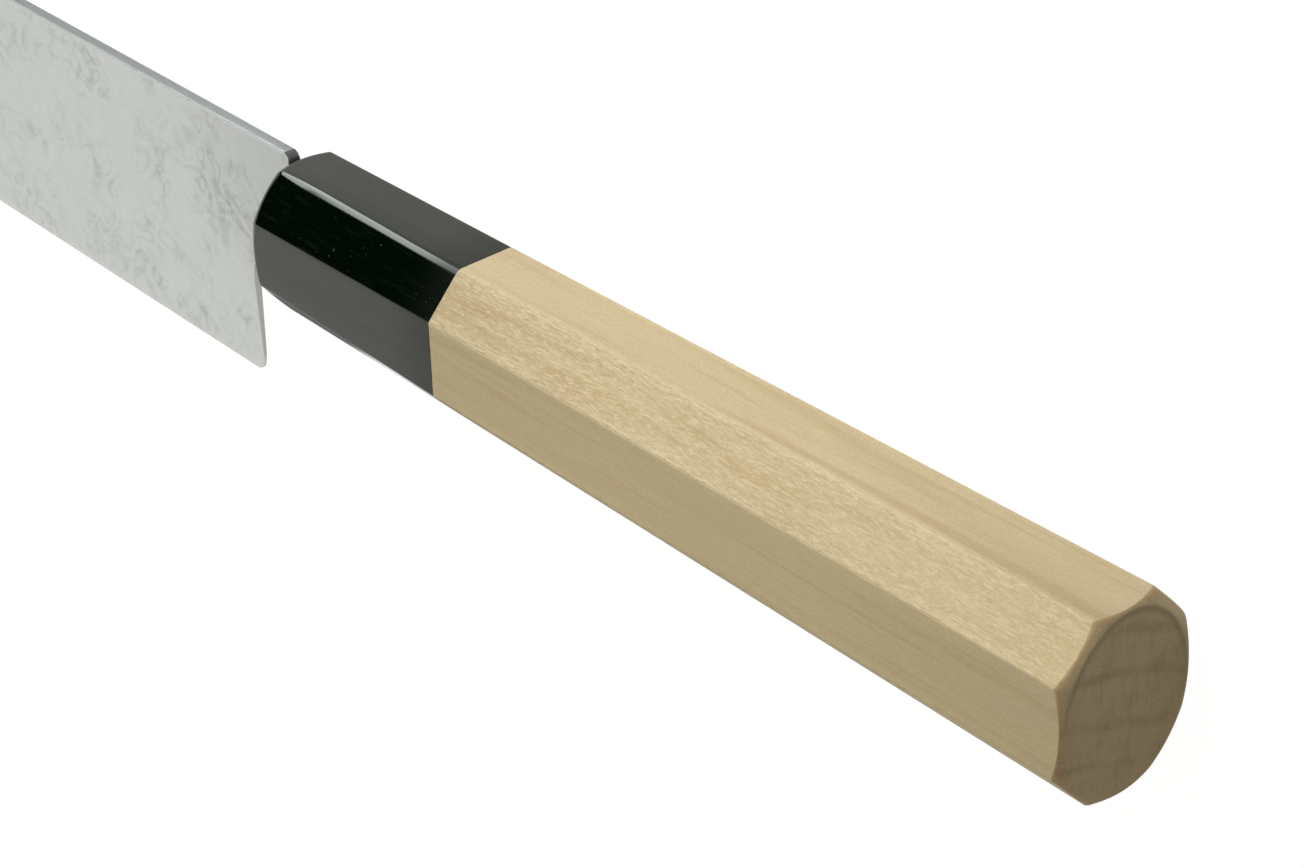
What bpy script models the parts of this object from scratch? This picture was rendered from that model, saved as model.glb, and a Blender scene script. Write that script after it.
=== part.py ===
"""Sujihiki: a long Japanese slicing knife with an octagonal wooden handle.

The knife comes apart into five pieces: the blade with its hidden tang, the horn ferrule,
the wooden handle body, the dowel that joins ferrule and body round the tang, and the
seal that fills the ferrule's mouth.

The knife lies on its right side. +X runs to the butt, +Y to the spine and +Z out of the
left side. While the pieces are made, x is 0 at the ferrule's front face and the handle's
axis is y = 0, z = 0. The last step sets the whole knife down on the ground plane.
All sizes are in metres.
"""

import math
from dataclasses import dataclass

import bmesh
import bpy

# Clearance between pieces that are glued or driven together.
FIT_GAP = 0.0003

# Handle, from the ferrule's front face to the butt.
HANDLE_LENGTH = 0.1430
FERRULE_LENGTH = 0.0376

# Octagonal section at the ferrule's front face: overall sizes and the widths of its flats.
FRONT_WIDTH = 0.01738
FRONT_HEIGHT = 0.02006
FRONT_TOP_FLAT = 0.00788
FRONT_SIDE_FLAT = 0.00868

# The same where the ferrule meets the wood.
JOINT_WIDTH = 0.01806
JOINT_HEIGHT = 0.02094
JOINT_TOP_FLAT = 0.00816
JOINT_SIDE_FLAT = 0.01026

# The same at the butt, before its rim is rounded over.
BUTT_WIDTH = 0.02012
BUTT_HEIGHT = 0.02342
BUTT_TOP_FLAT = 0.00938
BUTT_SIDE_FLAT = 0.01164

# Softening of the eight long ridges.
RIDGE_RADIUS = 0.0005

# The rims are cut by a flared oval, which leaves each flat ending in a shallow arc.
# An inset is how far the oval end face lies inside the top flat or the side flat.
BUTT_TOP_INSET = 0.0003
BUTT_SIDE_INSET = 0.0010
BUTT_FLARE = 1.18
FRONT_TOP_INSET = 0.0007
FRONT_SIDE_INSET = 0.0013
FRONT_FLARE = 1.04
RIM_FULLNESS = 0.13

# Blade outline. Heights are measured from the handle's axis, + towards the spine.
BLADE_LENGTH = 0.2393
NECK_LENGTH = 0.0116
SPINE_LEVEL = 0.0104
HEEL_LEVEL = -0.02655
TIP_LEVEL = 0.0022
TIP_BLUNT = 0.0005
SPINE_STRAIGHT = 0.1440
SPINE_DROP_POWER = 2.0
EDGE_HEEL_SLOPE = 0.0155
EDGE_SWEEP_POWER = 5.5
HEEL_RADIUS = 0.0022
HEEL_LEAN = 0.00025

# Blade section.
SPINE_AT_HEEL = 0.0019
SPINE_AT_TIP = 0.0013
SPINE_EASE = 0.00035
EDGE_THICKNESS = 0.00012
EDGE_BEVEL_HEIGHT = 0.0010
EDGE_BEVEL_THICKNESS = 0.00042
GRIND_CONVEXITY = 1.35

# Neck and machi, the shoulders at the tang, which stay just ahead of the ferrule.
NECK_LEVEL = -0.0060
CHOIL_RADIUS = 0.0060
SHOULDER_RADIUS = 0.0011
SHOULDER_GAP = 0.0010

# Tang, hidden in the handle.
TANG_LENGTH = 0.1040
TANG_TOP = 0.0050
TANG_BOTTOM = -0.0042
TANG_END_TOP = 0.0028
TANG_END_BOTTOM = -0.0030
TANG_END_THICKNESS = 0.0014

# Mouth of the ferrule and the seal in it.
MOUTH_DEPTH = 0.0080
MOUTH_MARGIN = 0.0011
SEAL_RECESS = 0.0006

# Dowel that joins ferrule and body, and the bores that take it.
DOWEL_DIAMETER = 0.0132
DOWEL_IN_BODY = 0.0270
DOWEL_END_CHAMFER = 0.0006
TANG_CLEARANCE = 0.0004
TANG_HOLE_EXTRA = 0.0040

# Fineness of the meshes.
FERRULE_FLAT_STEPS = 2
BODY_FLAT_STEPS = 10
RIDGE_STEPS = 4
RIM_STEPS = 4
ROUND_SIDES = 40
BLADE_COLUMNS = 40
HEEL_COLUMNS = 5
CHOIL_COLUMNS = 6
NECK_COLUMNS = 3
SHOULDER_COLUMNS = 4
TANG_COLUMNS = 8
FLANK_ROWS = 5
UPPER_ROWS = 3
EASE_ROWS = 3
SMOOTH_ANGLE = math.radians(28)
SEARCH_STEPS = 40


@dataclass(frozen=True)
class Octagon:
    """Half sizes of an octagonal section, y towards the spine and z towards the left."""

    half_width: float
    half_height: float
    half_top_flat: float
    half_side_flat: float

    def corners(self):
        """The eight corners (y, z), turning from the top flat towards the left side."""
        quarter = [(self.half_height, self.half_top_flat), (self.half_side_flat, self.half_width)]
        left = quarter + [(-y, z) for y, z in reversed(quarter)]
        return left + [(y, -z) for y, z in reversed(left)]


@dataclass(frozen=True)
class Rim:
    """The oval end face of a handle piece and the flare that cuts its rim."""

    face_x: float
    half_width: float
    half_height: float
    flare: float
    inward: int

    def excess(self, point):
        """How far a point lies outside the flared oval, as a share of the oval's size."""
        x, y, z = point
        growth = self.flare * (x - self.face_x) * self.inward
        return math.hypot(y / (self.half_height + growth), z / (self.half_width + growth)) - 1.0

    def face_point(self, point):
        """The point of the end face's outline in the direction of a point of the flats."""
        _, y, z = point
        reach = math.hypot(y / self.half_height, z / self.half_width)
        return (self.face_x, y / reach, z / reach)


def lerp(start, end, share):
    """The value that lies the given share of the way from start to end."""
    return start + (end - start) * share


def mix_points(start, end, share):
    """The point that lies the given share of the way from start to end."""
    return tuple(lerp(a, b, share) for a, b in zip(start, end))


def section_outline(octagon, flat_steps):
    """Points (y, z) round an octagon whose corners are softened by the ridge radius."""
    corners = octagon.corners()
    count = len(corners)
    arcs = []
    for index, corner in enumerate(corners):
        before = corners[index - 1]
        after = corners[(index + 1) % count]
        arcs.append(corner_arc(before, corner, after, RIDGE_RADIUS))
    outline = []
    for index, arc in enumerate(arcs):
        following = arcs[(index + 1) % count]
        outline.extend(arc)
        for step in range(1, flat_steps):
            outline.append(mix_points(arc[-1], following[0], step / flat_steps))
    return outline


def corner_arc(before, corner, after, radius):
    """Points of the arc that rounds one corner of an outline."""
    towards_before = unit(before[0] - corner[0], before[1] - corner[1])
    towards_after = unit(after[0] - corner[0], after[1] - corner[1])
    bisector = unit(towards_before[0] + towards_after[0], towards_before[1] + towards_after[1])
    half_angle = math.acos(bisector[0] * towards_before[0] + bisector[1] * towards_before[1])
    reach = radius / math.sin(half_angle)
    centre = (corner[0] + bisector[0] * reach, corner[1] + bisector[1] * reach)
    tangent = radius / math.tan(half_angle)
    dy = corner[0] + towards_before[0] * tangent - centre[0]
    dz = corner[1] + towards_before[1] * tangent - centre[1]
    turn = math.pi - 2.0 * half_angle
    if towards_before[0] * towards_after[1] > towards_before[1] * towards_after[0]:
        turn = -turn
    points = []
    for step in range(RIDGE_STEPS + 1):
        angle = turn * step / RIDGE_STEPS
        points.append((centre[0] + dy * math.cos(angle) - dz * math.sin(angle),
                       centre[1] + dy * math.sin(angle) + dz * math.cos(angle)))
    return points


def unit(dy, dz):
    """The direction of a vector, as a vector of length 1."""
    length = math.hypot(dy, dz)
    return (dy / length, dz / length)


def ring_at(octagon, x, flat_steps):
    """The softened outline of an octagon as a ring of points at one x."""
    return [(x, y, z) for y, z in section_outline(octagon, flat_steps)]


def rounded_end(near_ring, end_ring, rim):
    """Rings from where the rim cuts each flat to the oval end face.

    near_ring and end_ring are matching rings well inside the piece and at its end, and
    the flats run straight between them.
    """
    crest = []
    for near, end in zip(near_ring, end_ring):
        low, high = 0.0, 1.0
        for _ in range(SEARCH_STEPS):
            middle = (low + high) / 2.0
            if rim.excess(mix_points(near, end, middle)) > 0.0:
                high = middle
            else:
                low = middle
        crest.append(mix_points(near, end, low))
    rings = [crest]
    for step in range(1, RIM_STEPS + 1):
        share = step / RIM_STEPS
        swell = 4.0 * share * (1.0 - share) * RIM_FULLNESS
        ring = []
        for point in crest:
            face = rim.face_point(point)
            x, y, z = mix_points(point, face, share)
            depth = abs(face[0] - point[0])
            outward = 1.0 + swell * depth * rim.flare / math.hypot(y, z)
            ring.append((x - rim.inward * swell * depth, y * outward, z * outward))
        rings.append(ring)
    rings[-1] = [rim.face_point(point) for point in crest]
    return rings


def new_object(name, bm, material):
    """Turn a bmesh into a named object with its material, shaded smooth where it is round."""
    bmesh.ops.recalc_face_normals(bm, faces=bm.faces)
    mesh = bpy.data.meshes.new(name)
    bm.to_mesh(mesh)
    bm.free()
    if material:
        mesh.materials.append(material)
    mesh.shade_smooth()
    mesh.set_sharp_from_angle(angle=SMOOTH_ANGLE)
    piece = bpy.data.objects.new(name, mesh)
    bpy.context.collection.objects.link(piece)
    return piece


def loft(name, rings, material):
    """A closed body through matching rings of points, with flat ends."""
    bm = bmesh.new()
    loops = [[bm.verts.new(point) for point in ring] for ring in rings]
    for lower, upper in zip(loops, loops[1:]):
        for index in range(len(lower)):
            following = (index + 1) % len(lower)
            bm.faces.new((lower[index], lower[following], upper[following], upper[index]))
    bm.faces.new(loops[0])
    bm.faces.new(loops[-1])
    return new_object(name, bm, material)


def rod(name, start_x, end_x, diameter, chamfer=0.0, material=None):
    """A round bar along X, with its end edges broken by a chamfer."""
    stations = [(start_x, diameter / 2.0 - chamfer), (end_x, diameter / 2.0 - chamfer)]
    if chamfer:
        stations[1:1] = [(start_x + chamfer, diameter / 2.0), (end_x - chamfer, diameter / 2.0)]
    rings = []
    for x, radius in stations:
        angles = [2.0 * math.pi * side / ROUND_SIDES for side in range(ROUND_SIDES)]
        rings.append([(x, radius * math.cos(angle), radius * math.sin(angle)) for angle in angles])
    return loft(name, rings, material)


def slab(name, stations, material=None):
    """A four-sided bar along X. Each station is (x, bottom, top, half thickness)."""
    rings = []
    for x, bottom, top, half in stations:
        rings.append([(x, bottom, -half), (x, top, -half), (x, top, half), (x, bottom, half)])
    return loft(name, rings, material)


def cut(piece, cutter):
    """Cut a piece with another object, which stays in the file as a guide only."""
    cutter.hide_render = True
    cutter.display_type = 'WIRE'
    modifier = piece.modifiers.new("cut_" + cutter.name, 'BOOLEAN')
    modifier.operation = 'DIFFERENCE'
    modifier.solver = 'EXACT'
    modifier.object = cutter


def make_material(name, colour, roughness, metallic):
    """A Principled material with one colour and finish."""
    material = bpy.data.materials.new(name)
    material.use_nodes = True
    shader = material.node_tree.nodes["Principled BSDF"]
    shader.inputs["Base Color"].default_value = (*colour, 1.0)
    shader.inputs["Roughness"].default_value = roughness
    shader.inputs["Metallic"].default_value = metallic
    return material


def front_octagon():
    """The octagon at the ferrule's front face."""
    return Octagon(FRONT_WIDTH / 2, FRONT_HEIGHT / 2, FRONT_TOP_FLAT / 2, FRONT_SIDE_FLAT / 2)


def joint_octagon():
    """The octagon where the ferrule meets the wood."""
    return Octagon(JOINT_WIDTH / 2, JOINT_HEIGHT / 2, JOINT_TOP_FLAT / 2, JOINT_SIDE_FLAT / 2)


def butt_octagon():
    """The octagon at the butt, before its rim is rounded over."""
    return Octagon(BUTT_WIDTH / 2, BUTT_HEIGHT / 2, BUTT_TOP_FLAT / 2, BUTT_SIDE_FLAT / 2)


def tang_at(x):
    """Bottom, top and half thickness of the tang at a place behind the shoulders."""
    share = x / TANG_LENGTH
    bottom = lerp(TANG_BOTTOM, TANG_END_BOTTOM, share)
    top = lerp(TANG_TOP, TANG_END_TOP, share)
    return bottom, top, lerp(SPINE_AT_HEEL, TANG_END_THICKNESS, share) / 2.0


def tang_cutter(name, start_x, end_x):
    """A guide that clears the tang all round between two places along the handle."""
    stations = []
    for x in (start_x, end_x):
        bottom, top, half = tang_at(min(x, TANG_LENGTH))
        stations.append((x, bottom - TANG_CLEARANCE, top + TANG_CLEARANCE, half + TANG_CLEARANCE))
    return slab(name, stations)


def mouth_slab(name, start_x, end_x, margin, material=None):
    """A straight bar along X that is larger than the tang's front by a margin all round."""
    bottom, top, half = tang_at(0.0)
    section = (bottom - margin, top + margin, half + margin)
    return slab(name, [(start_x, *section), (end_x, *section)], material)


def make_ferrule():
    """The horn ferrule: a tapered octagon, its front rim rounded over, bored for the dowel."""
    material = make_material("buffalo_horn", (0.012, 0.013, 0.012), 0.12, 0.0)
    front_ring = ring_at(front_octagon(), 0.0, FERRULE_FLAT_STEPS)
    joint_ring = ring_at(joint_octagon(), FERRULE_LENGTH, FERRULE_FLAT_STEPS)
    half_width = FRONT_WIDTH / 2 - FRONT_SIDE_INSET
    half_height = FRONT_HEIGHT / 2 - FRONT_TOP_INSET
    rings = rounded_end(joint_ring, front_ring, Rim(0.0, half_width, half_height, FRONT_FLARE, 1))
    ferrule = loft("ferrule", rings[::-1] + [joint_ring], material)
    bore_diameter = DOWEL_DIAMETER + 2 * FIT_GAP
    bore = rod("ferrule_bore", MOUTH_DEPTH, FERRULE_LENGTH + FIT_GAP, bore_diameter)
    mouth = mouth_slab("ferrule_mouth", -FIT_GAP, MOUTH_DEPTH + FIT_GAP, MOUTH_MARGIN + FIT_GAP)
    cut(ferrule, bore)
    cut(ferrule, mouth)
    return [ferrule, bore, mouth]


def make_handle_body():
    """The wooden body: a tapered octagon with a rounded butt rim, bored for dowel and tang."""
    material = make_material("magnolia_wood", (0.62, 0.47, 0.28), 0.55, 0.0)
    joint_ring = ring_at(joint_octagon(), FERRULE_LENGTH + FIT_GAP, BODY_FLAT_STEPS)
    butt_ring = ring_at(butt_octagon(), HANDLE_LENGTH, BODY_FLAT_STEPS)
    half_width = BUTT_WIDTH / 2 - BUTT_SIDE_INSET
    half_height = BUTT_HEIGHT / 2 - BUTT_TOP_INSET
    rim = Rim(HANDLE_LENGTH, half_width, half_height, BUTT_FLARE, -1)
    body = loft("handle_body", [joint_ring] + rounded_end(joint_ring, butt_ring, rim), material)
    bore_end = FERRULE_LENGTH + DOWEL_IN_BODY + 2 * FIT_GAP
    bore = rod("body_bore", FERRULE_LENGTH - FIT_GAP, bore_end, DOWEL_DIAMETER + 2 * FIT_GAP)
    hole = tang_cutter("body_tang_hole", bore_end - FIT_GAP, TANG_LENGTH + TANG_HOLE_EXTRA)
    cut(body, bore)
    cut(body, hole)
    return [body, bore, hole]


def make_dowel():
    """The dowel that joins ferrule and body, mortised from end to end for the tang."""
    material = make_material("dowel_wood", (0.58, 0.42, 0.24), 0.6, 0.0)
    start_x = MOUTH_DEPTH + FIT_GAP
    end_x = FERRULE_LENGTH + DOWEL_IN_BODY
    dowel = rod("tang_dowel", start_x, end_x, DOWEL_DIAMETER, DOWEL_END_CHAMFER, material)
    mortise = tang_cutter("dowel_mortise", start_x - FIT_GAP, end_x + FIT_GAP)
    cut(dowel, mortise)
    return [dowel, mortise]


def make_seal():
    """The resin collar that closes the ferrule's mouth round the tang."""
    material = make_material("dark_resin", (0.03, 0.025, 0.02), 0.5, 0.0)
    seal = mouth_slab("mouth_seal", SEAL_RECESS, MOUTH_DEPTH, MOUTH_MARGIN, material)
    opening = mouth_slab("seal_opening", SEAL_RECESS - FIT_GAP, MOUTH_DEPTH + FIT_GAP, FIT_GAP)
    cut(seal, opening)
    return [seal, opening]


def spine_level(share):
    """Height of the blade's spine at a share of the way from heel to tip."""
    start = SPINE_STRAIGHT / BLADE_LENGTH
    drop = SPINE_LEVEL - TIP_LEVEL - TIP_BLUNT / 2.0
    return SPINE_LEVEL - drop * (max(share - start, 0.0) / (1.0 - start)) ** SPINE_DROP_POWER


def edge_level(share):
    """Height of the cutting edge at a share of the way from heel to tip."""
    rise = TIP_LEVEL - TIP_BLUNT / 2.0 - HEEL_LEVEL
    straight = EDGE_HEEL_SLOPE * BLADE_LENGTH * share
    sweep = (rise - EDGE_HEEL_SLOPE * BLADE_LENGTH) * share ** EDGE_SWEEP_POWER
    from_heel = min(share * BLADE_LENGTH / HEEL_RADIUS, 1.0)
    rounding = HEEL_RADIUS * (1.0 - math.sqrt(1.0 - (1.0 - from_heel) ** 2))
    return HEEL_LEVEL + straight + sweep + rounding


def half_thickness(share, height):
    """Half the blade's thickness at a height above the edge, with the spine's edges eased."""
    full_height = spine_level(share) - edge_level(share)
    spine = half_spine(share)
    edge = EDGE_THICKNESS / 2.0
    bevel_height = bevel_height_at(full_height)
    bevel = min(EDGE_BEVEL_THICKNESS / 2.0, lerp(edge, spine, 0.5))
    if height <= bevel_height:
        return lerp(edge, bevel, height / bevel_height)
    rise = (height - bevel_height) / (full_height - bevel_height)
    flank = lerp(bevel, spine, 1.0 - (1.0 - rise) ** GRIND_CONVEXITY)
    return flank - ease_loss(full_height - height, ease_radius(share))


def half_spine(share):
    """Half the spine's thickness, which thins towards the tip and with the blade's height."""
    full_height = spine_level(share) - edge_level(share)
    taper = math.sqrt(full_height / (SPINE_LEVEL - HEEL_LEVEL))
    return lerp(SPINE_AT_HEEL, SPINE_AT_TIP, share) / 2.0 * taper


def ease_radius(share):
    """Radius that softens the spine's two edges."""
    return min(SPINE_EASE, half_spine(share) / 2.0)


def bevel_height_at(full_height):
    """Height of the edge bevel, which shrinks with the blade at the very tip."""
    return min(EDGE_BEVEL_HEIGHT, full_height / 4.0)


def ease_loss(from_border, radius):
    """How much an eased border takes off the half thickness at a distance from it."""
    if from_border >= radius:
        return 0.0
    return radius - math.sqrt(radius ** 2 - (radius - from_border) ** 2)


class BladeGrid:
    """The blade as columns from tip to tang end and rows from edge to spine.

    All columns of the blade have every row. The neck has only the rows above the choil,
    and the tang only those between the shoulders.
    """

    def __init__(self):
        self.rows_below_choil = FLANK_ROWS + 1
        self.tang_first = self.rows_below_choil + 1
        self.tang_last = self.tang_first + 2
        self.top_row = self.tang_last + UPPER_ROWS + EASE_ROWS
        self.columns = []
        self.first_row = []
        self.last_row = []
        self.fill_blade()
        self.fill_neck()
        self.fill_tang()

    def add_column(self, column, first_row, last_row):
        """Keep one column of points {row: (x, y, half thickness)} and the rows it has."""
        self.columns.append(column)
        self.first_row.append(first_row)
        self.last_row.append(last_row)

    def row_heights(self, full_height, choil_height, ease):
        """Heights of the blade's rows above the edge."""
        bevel = bevel_height_at(full_height)
        heights = [0.0]
        for step in range(FLANK_ROWS + 1):
            heights.append(lerp(bevel, choil_height, step / FLANK_ROWS))
        upper = self.top_row - EASE_ROWS - self.rows_below_choil
        for step in range(1, upper + 1):
            heights.append(lerp(choil_height, full_height - ease, step / upper))
        heights.extend(full_height - ease * (1.0 - math.sin(math.pi / 2.0 * step / EASE_ROWS))
                       for step in range(1, EASE_ROWS + 1))
        return heights

    def fill_blade(self):
        """Columns of the blade proper, from the tip to the heel."""
        heel_height = SPINE_LEVEL - edge_level(0.0)
        choil_share = (NECK_LEVEL - CHOIL_RADIUS - edge_level(0.0)) / heel_height
        first = HEEL_RADIUS / BLADE_LENGTH
        heel_shares = [first * (1.0 - math.cos(math.pi / 2.0 * step / HEEL_COLUMNS))
                       for step in range(HEEL_COLUMNS)]
        body_shares = [lerp(first, 1.0, math.sin(math.pi / 2.0 * step / BLADE_COLUMNS))
                       for step in range(BLADE_COLUMNS + 1)]
        for share in reversed(heel_shares + body_shares):
            low = edge_level(share)
            full = spine_level(share) - low
            heights = self.row_heights(full, full * choil_share, ease_radius(share))
            column = {}
            for row, height in enumerate(heights):
                x = lerp(self.heel_x(low + height), -NECK_LENGTH - BLADE_LENGTH, share)
                column[row] = (x, low + height, half_thickness(share, height))
            self.add_column(column, 0, self.top_row)

    @staticmethod
    def heel_x(level):
        """Place of the heel's rear edge, which leans back a little towards the edge."""
        choil = NECK_LEVEL - CHOIL_RADIUS
        lean = max(choil - level, 0.0) / (choil - HEEL_LEVEL)
        return -NECK_LENGTH - HEEL_LEAN * (1.0 - lean)

    def fill_neck(self):
        """Columns of the neck, from the choil's curve to the shoulders."""
        start_x = self.heel_x(NECK_LEVEL)
        end_x = -SHOULDER_GAP
        offsets = [CHOIL_RADIUS * (1.0 - math.cos(math.pi / 2.0 * step / CHOIL_COLUMNS))
                   for step in range(1, CHOIL_COLUMNS + 1)]
        straight_end = end_x - start_x - SHOULDER_RADIUS
        for step in range(1, NECK_COLUMNS + 1):
            offsets.append(lerp(CHOIL_RADIUS, straight_end, step / NECK_COLUMNS))
        for step in range(1, SHOULDER_COLUMNS + 1):
            turn = math.pi / 2.0 * step / SHOULDER_COLUMNS
            offsets.append(straight_end + SHOULDER_RADIUS * math.sin(turn))
        heel = self.columns[-1]
        first = self.rows_below_choil
        for offset in offsets:
            progress = offset / (end_x - start_x)
            low = NECK_LEVEL - quarter_arc(CHOIL_RADIUS, CHOIL_RADIUS - offset)
            top = SPINE_LEVEL - quarter_arc(SHOULDER_RADIUS, offset - straight_end)
            column = {}
            eased_top = heel[self.top_row - EASE_ROWS][1]
            top -= SPINE_LEVEL - eased_top
            for row in range(first, self.top_row - EASE_ROWS + 1):
                heel_share = (heel[row][1] - heel[first][1]) / (eased_top - heel[first][1])
                share = lerp(heel_share, self.shoulder_share(row), progress)
                half = min(lerp(heel[row][2], SPINE_AT_HEEL / 2.0, progress), SPINE_AT_HEEL / 2.0)
                column[row] = (start_x + offset, lerp(low, top, share), half)
            for row in range(self.top_row - EASE_ROWS + 1, self.top_row + 1):
                column[row] = (start_x + offset, top + heel[row][1] - eased_top, heel[row][2])
            self.add_column(column, first, self.top_row)

    def shoulder_share(self, row):
        """Share of the neck's height, up to its eased rows, at which a row meets the shoulders."""
        top = SPINE_LEVEL - SHOULDER_RADIUS - SPINE_EASE
        height = top - NECK_LEVEL
        if row <= self.tang_first:
            step = (row - self.rows_below_choil) / (self.tang_first - self.rows_below_choil)
            return lerp(0.0, (TANG_BOTTOM - NECK_LEVEL) / height, step)
        if row <= self.tang_last:
            step = (row - self.tang_first) / (self.tang_last - self.tang_first)
            return lerp(TANG_BOTTOM - NECK_LEVEL, TANG_TOP - NECK_LEVEL, step) / height
        step = (row - self.tang_last) / (self.top_row - EASE_ROWS - self.tang_last)
        return lerp((TANG_TOP - NECK_LEVEL) / height, 1.0, step)

    def fill_tang(self):
        """Columns of the tang, from the shoulders to its end."""
        for step in range(1, TANG_COLUMNS + 1):
            x = lerp(0.0, TANG_LENGTH, step / TANG_COLUMNS)
            bottom, top, half = tang_at(x)
            column = {}
            for row in range(self.tang_first, self.tang_last + 1):
                share = (row - self.tang_first) / (self.tang_last - self.tang_first)
                column[row] = (x, lerp(bottom, top, share), half)
            self.add_column(column, self.tang_first, self.tang_last)

    def build(self, name, material):
        """Skin both sides of the grid and close its border with a strip all round."""
        bm = bmesh.new()
        sides = []
        for side in (1.0, -1.0):
            verts = []
            for column in self.columns:
                verts.append({row: bm.verts.new((x, y, side * half))
                              for row, (x, y, half) in column.items()})
            sides.append(verts)
        border = {}
        for index in range(len(self.columns) - 1):
            first = max(self.first_row[index], self.first_row[index + 1])
            last = min(self.last_row[index], self.last_row[index + 1])
            for row in range(first, last):
                cell = [(index, row), (index + 1, row), (index + 1, row + 1), (index, row + 1)]
                for verts in sides:
                    bm.faces.new([verts[column][line] for column, line in cell])
                for start, end in zip(cell, cell[1:] + cell[:1]):
                    key = frozenset((start, end))
                    border[key] = border.get(key, 0) + 1
        left, right = sides
        for key, uses in border.items():
            if uses == 1:
                (column_a, row_a), (column_b, row_b) = sorted(key)
                bm.faces.new((left[column_a][row_a], left[column_b][row_b],
                              right[column_b][row_b], right[column_a][row_a]))
        return new_object(name, bm, material)


def quarter_arc(radius, along):
    """Drop of a quarter circle below its top at a distance along it, 0 before it starts."""
    if along <= 0.0:
        return 0.0
    return radius - math.sqrt(max(radius ** 2 - along ** 2, 0.0))


def make_blade():
    """The blade with heel, choil, neck, shoulders and tang, all one forging."""
    material = make_material("layered_steel", (0.62, 0.63, 0.62), 0.2, 1.0)
    return [BladeGrid().build("blade", material)]


def set_down(pieces, guides):
    """Stand the knife on the ground plane, its box centred on the origin."""
    depsgraph = bpy.context.evaluated_depsgraph_get()
    points = []
    for piece in pieces:
        evaluated = piece.evaluated_get(depsgraph)
        points.extend(vertex.co.copy() for vertex in evaluated.to_mesh().vertices)
        evaluated.to_mesh_clear()
    lowest = [min(point[axis] for point in points) for axis in range(3)]
    highest = [max(point[axis] for point in points) for axis in range(3)]
    knife = bpy.data.objects.new("knife", None)
    bpy.context.collection.objects.link(knife)
    knife.location = (-(lowest[0] + highest[0]) / 2.0, -(lowest[1] + highest[1]) / 2.0, -lowest[2])
    for item in pieces + guides:
        item.parent = knife


def main():
    """Clear the scene and build the knife."""
    for item in list(bpy.data.objects):
        bpy.data.objects.remove(item, do_unlink=True)
    pieces = []
    guides = []
    for make in (make_blade, make_ferrule, make_handle_body, make_dowel, make_seal):
        piece, *cutters = make()
        pieces.append(piece)
        guides.extend(cutters)
    set_down(pieces, guides)


main()
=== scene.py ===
"""Looks of a sujihiki: polished layered blade, black horn ferrule, bare octagonal handle.

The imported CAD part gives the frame. This script skins the blade, the ferrule and the wooden
body with finer surfaces of the same shapes, dresses the hidden dowel and seal, and sets up
a plain pale studio with the camera at the photograph's view.

Shapes are worked out in the knife's own frame, where x is 0 at the ferrule's front face and
grows to the butt, y points to the spine and z out of the left side. They are moved to the
row frame when they become meshes. All lengths are in metres and all colours are linear.
"""

import logging
import math
from dataclasses import dataclass
from enum import Enum
from typing import Any, Callable, Mapping, Optional, Sequence, Union

import bmesh
import bpy
import numpy as np
from mathutils import Matrix, Vector


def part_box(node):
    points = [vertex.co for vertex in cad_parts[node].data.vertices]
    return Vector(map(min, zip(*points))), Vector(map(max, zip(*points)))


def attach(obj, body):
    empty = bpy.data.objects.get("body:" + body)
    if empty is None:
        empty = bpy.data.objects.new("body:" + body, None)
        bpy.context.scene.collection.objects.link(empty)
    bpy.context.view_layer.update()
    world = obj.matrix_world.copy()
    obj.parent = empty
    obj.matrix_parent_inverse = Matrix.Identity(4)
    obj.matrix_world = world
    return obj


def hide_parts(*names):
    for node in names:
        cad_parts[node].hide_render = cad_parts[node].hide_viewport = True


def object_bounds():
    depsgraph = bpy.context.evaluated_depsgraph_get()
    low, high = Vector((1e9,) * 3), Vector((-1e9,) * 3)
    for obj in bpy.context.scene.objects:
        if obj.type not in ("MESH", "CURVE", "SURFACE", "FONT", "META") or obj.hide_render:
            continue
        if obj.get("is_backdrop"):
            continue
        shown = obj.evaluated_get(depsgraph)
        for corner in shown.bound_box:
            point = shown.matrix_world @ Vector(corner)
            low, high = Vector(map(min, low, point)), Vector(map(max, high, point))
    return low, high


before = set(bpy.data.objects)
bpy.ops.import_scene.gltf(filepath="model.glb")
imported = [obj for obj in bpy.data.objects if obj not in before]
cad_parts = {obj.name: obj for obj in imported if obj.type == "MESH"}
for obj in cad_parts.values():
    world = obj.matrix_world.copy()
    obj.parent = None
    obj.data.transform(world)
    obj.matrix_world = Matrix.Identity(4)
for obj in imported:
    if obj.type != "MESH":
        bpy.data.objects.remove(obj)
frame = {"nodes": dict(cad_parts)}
CAD_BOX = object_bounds()

ROOT_BODY = "root"
SMOOTH_ANGLE = math.radians(15.0)
WELD_DISTANCE = 1e-7
SEARCH_STEPS = 40
QUARTER_TURN = math.pi / 2.0
CORNERS = 8
FAR_AWAY = 1.0
NOISE_MEAN = 0.5
SEEN_RAYS = ("Is Camera Ray", "Is Glossy Ray", "Is Transmission Ray")

log = logging.getLogger("sujihiki")

Array = np.ndarray
Colour = tuple[float, float, float]
Place = tuple[float, float, float]
Span = tuple[float, float]


class Slot(Enum):
    """The record's material slots."""

    STEEL = "blade_steel"
    HORN = "horn"
    HANDLE = "handle_wood"
    DOWEL = "dowel_wood"
    RESIN = "resin"


class Trace(Enum):
    """Values kept on the vertices, for finishes that follow a surface."""

    BELOW_SPINE = "below_spine"
    FROM_BACK = "from_back"
    END_GRAIN = "end_grain"
    CREASE = "crease"
    BEVEL = "bevel"
    WEAR = "wear"


# Shapes


def lerp(start: Any, end: Any, share: Any) -> Any:
    """What lies the given share of the way from start to end."""
    return start + (end - start) * share


def unit(vectors: Array) -> Array:
    """The vectors, each divided by its length."""
    return vectors / np.linalg.norm(vectors, axis=-1, keepdims=True)


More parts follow.
